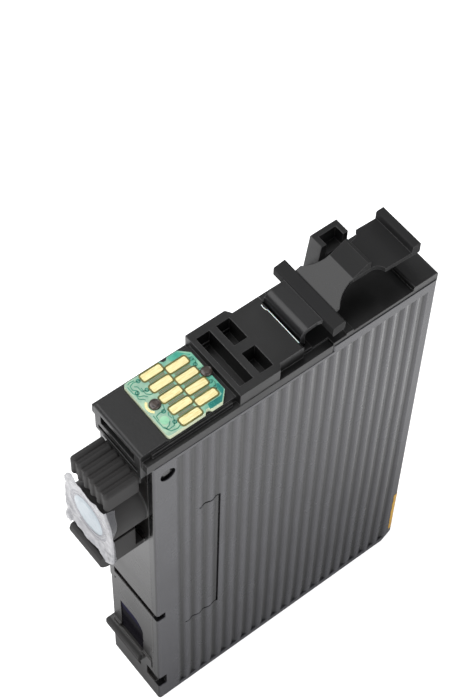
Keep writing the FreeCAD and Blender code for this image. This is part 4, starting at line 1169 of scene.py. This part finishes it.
@dataclass
class InkChamber:
    """The pieces that hold and feed the ink inside the tray."""

    def build(self, nodes: dict[str, Piece]) -> None:
        """Dresses the chamber's film, plate and spring."""
        dress(nodes, {"chamber_film": ClearFilm("laminated barrier film", transmission=0.8, roughness=0.22),
                      "pressure_plate": NaturalMoulding("moulded polypropylene, natural"),
                      "plate_spring": SpringSteel("drawn stainless wire", roughness=0.2)})


@dataclass
class AirValve:
    """The valve that lets air in as ink leaves."""

    def build(self, nodes: dict[str, Piece]) -> None:
        """Dresses the valve's seat, rocker and spring."""
        acetal = NaturalMoulding("moulded acetal, natural", "#ECECE8", "#DADAD4", 0.32)
        dress(nodes, {"valve_seat": acetal, "valve_lever": acetal,
                      "valve_spring": SpringSteel("drawn stainless wire", roughness=0.2)})


@dataclass
class VentTape:
    """The amber tape over the vent hole, pressed round both lower back edges."""

    back_x: float = 24.0
    half_y: float = 6.0
    low_z: float = 2.8
    high_z: float = 14.1
    wrap: float = 0.85
    corner: float = 0.42
    corner_steps: int = 5
    straight_step: float = 0.7
    straight_steps: int = 15
    clear: float = 0.015
    cut_wave: float = 0.12
    edge_wave: float = 0.1
    skin_lift: float = 0.012
    top_lift: float = 0.05
    top_from: float = 0.6
    film: float = 0.06
    cells: tuple[int, int] = (72, 36)

    def path(self) -> list[Point2]:
        """The tape's way round the back, seen from above.

        Returns:
            X and Y of its points, from the near side to the far side.
        """
        side, reach, centre = self.half_y + self.clear, self.corner + self.clear, self.back_x - self.corner
        turns = []
        for middle, start in ((-self.half_y + self.corner, -90), (self.half_y - self.corner, 0)):
            angles = [math.radians(start + 90 * i / self.corner_steps) for i in range(1, self.corner_steps)]
            turns.append([(centre + reach * math.cos(a), middle + reach * math.sin(a)) for a in angles])
        straight = [(self.back_x + self.clear, -self.half_y + self.corner + i * self.straight_step)
                    for i in range(1, self.straight_steps + 1)]
        return [(self.back_x - self.wrap, -side), (centre, -side), *turns[0], *straight, *turns[1],
                (centre, side), (self.back_x - self.wrap, side)]

    def tape_point(self, u: float, v: float) -> Point3:
        """A place on the tape: pressed flat low down, lifting a little near its top.

        Args:
            u: from the near end, 0, to the far one, 1.
            v: from the low edge, 0, to the top one, 1.

        Returns:
            The place in the part's frame.
        """
        points = self.path()
        along = u * (len(points) - 1)
        i = min(int(along), len(points) - 2)
        s = along - i
        x, y = (points[i][k] * (1 - s) + points[i + 1][k] * s for k in (0, 1))
        ripple = ripple_at(y * 0.7, v * 6.0, 3.0)
        z = self.low_z + (self.high_z - self.low_z) * v + self.cut_wave * math.sin(u * 9.0) * (2 * v - 1)
        lift = self.top_lift * smooth_step(self.top_from, 1.0, v) * (0.6 + 0.6 * ripple)
        lift += self.skin_lift * (1 + ripple)
        out = Vector((x - self.back_x + 3.0, y * 0.4)).normalized()
        if abs(y) >= self.half_y:
            x += self.edge_wave * ripple_at(0.0, v * 9.0, u * 2.0) * (self.back_x - x) / self.wrap
        return (x + lift * out.x, y + lift * out.y, z)

    def build(self, nodes: dict[str, Piece]) -> None:
        """Sticks the tape on."""
        amber = AmberTape("amber polyester tape")
        dress(nodes, {"vent_tape": amber})
        tape = walled_sheet("vent_tape_wrapped", *self.cells, self.tape_point, 1, self.film)
        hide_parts("vent_tape")
        enrol(tape, Body.SHELL, amber)


# Studio

@dataclass
class Studio:
    """The paper floor, the lamps, the sky and the camera. Each lamp has a name, a
    place in metres, a width in metres and a power in watts."""

    lens: float = 98.275
    sensor: float = 36.0
    place: Point3 = (-93.21, -104.0, 282.23)
    right: Point3 = (0.78827, -0.61513, 0.01595)
    up: Point3 = (0.50699, 0.66395, 0.54967)
    forward: Point3 = (0.34871, 0.4252, -0.83523)
    target: Point3 = (0.0, 0.0, 45.0)
    floor_width: float = 8000.0
    floor_z: float = -0.05
    sky: float = 0.42
    sky_colour: str = "#FCFCFF"
    lamps: tuple[tuple[str, Point3, float, float], ...] = (
        ("overhead softbox", (-0.24, 0.36, 0.80), 0.8, 7.0),
        ("left softbox", (-0.75, -0.2, 0.42), 0.5, 3.5),
        ("front softbox", (0.1, -0.85, 0.5), 0.6, 4.0),
        ("back strip", (0.75, 0.45, 0.45), 0.2, 1.2))

    def camera(self) -> None:
        """The photograph's camera, from its solved place and axes."""
        data = bpy.data.cameras.new("photograph camera")
        data.sensor_width = self.sensor
        data.lens = self.lens
        data.clip_start = 0.01
        data.clip_end = 20.0
        eye = link_object("photograph camera", data)
        axes = Matrix((self.right, self.up, [-v for v in self.forward])).transposed().to_4x4()
        eye.matrix_world = Matrix.Translation(Vector(self.place) * MM) @ axes
        bpy.context.scene.camera = eye

    def floor(self) -> None:
        """A pale paper floor, far wider than the view."""
        shape = bmesh.new()
        half = self.floor_width / 2
        shape.faces.new([shape.verts.new(Vector((x, y, self.floor_z)) * MM)
                         for x, y in ((-half, -half), (half, -half), (half, half), (-half, half))])
        floor = settle("paper_floor", shape)
        floor.data.materials.append(StudioPaper("white studio paper").material())

    def lights(self) -> None:
        """Soft lamps aimed at the object's middle, and a plain sky."""
        for name, place, size, power in self.lamps:
            data = bpy.data.lights.new(name, "AREA")
            data.size = size
            data.energy = power
            lamp = link_object(name, data)
            lamp.location = place
            aim = Vector(self.target) * MM - Vector(place)
            lamp.rotation_euler = aim.to_track_quat("-Z", "Y").to_euler()
        world = bpy.data.worlds.new("studio sky")
        world.use_nodes = True
        world.node_tree.nodes.clear()
        add = partial(add_node, world.node_tree, "ShaderNode")
        strength = add("MapRange", [add("LightPath", read="Is Camera Ray"), 0.0, 1.0, self.sky, 1.0])
        sky = add("Background", {"Color": self.sky_colour, "Strength": strength})
        add("OutputWorld", {"Surface": sky})
        bpy.context.scene.world = world

    def build(self) -> None:
        """Sets the whole studio."""
        self.camera()
        self.floor()
        self.lights()
        bpy.context.scene.view_settings.view_transform = "Standard"


def main() -> None:
    """Builds the studio and every sub-assembly."""
    logging.basicConfig(level=logging.INFO, format="%(name)s %(message)s")
    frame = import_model()
    Studio().build()
    for assembly in (Shell(), TopMoulding(), ContactBoard(), Outlet(), InkChamber(), AirValve(), VentTape()):
        LOG.info("building %s", type(assembly).__name__)
        assembly.build(frame["nodes"])


if __name__ == "__main__":
    main()
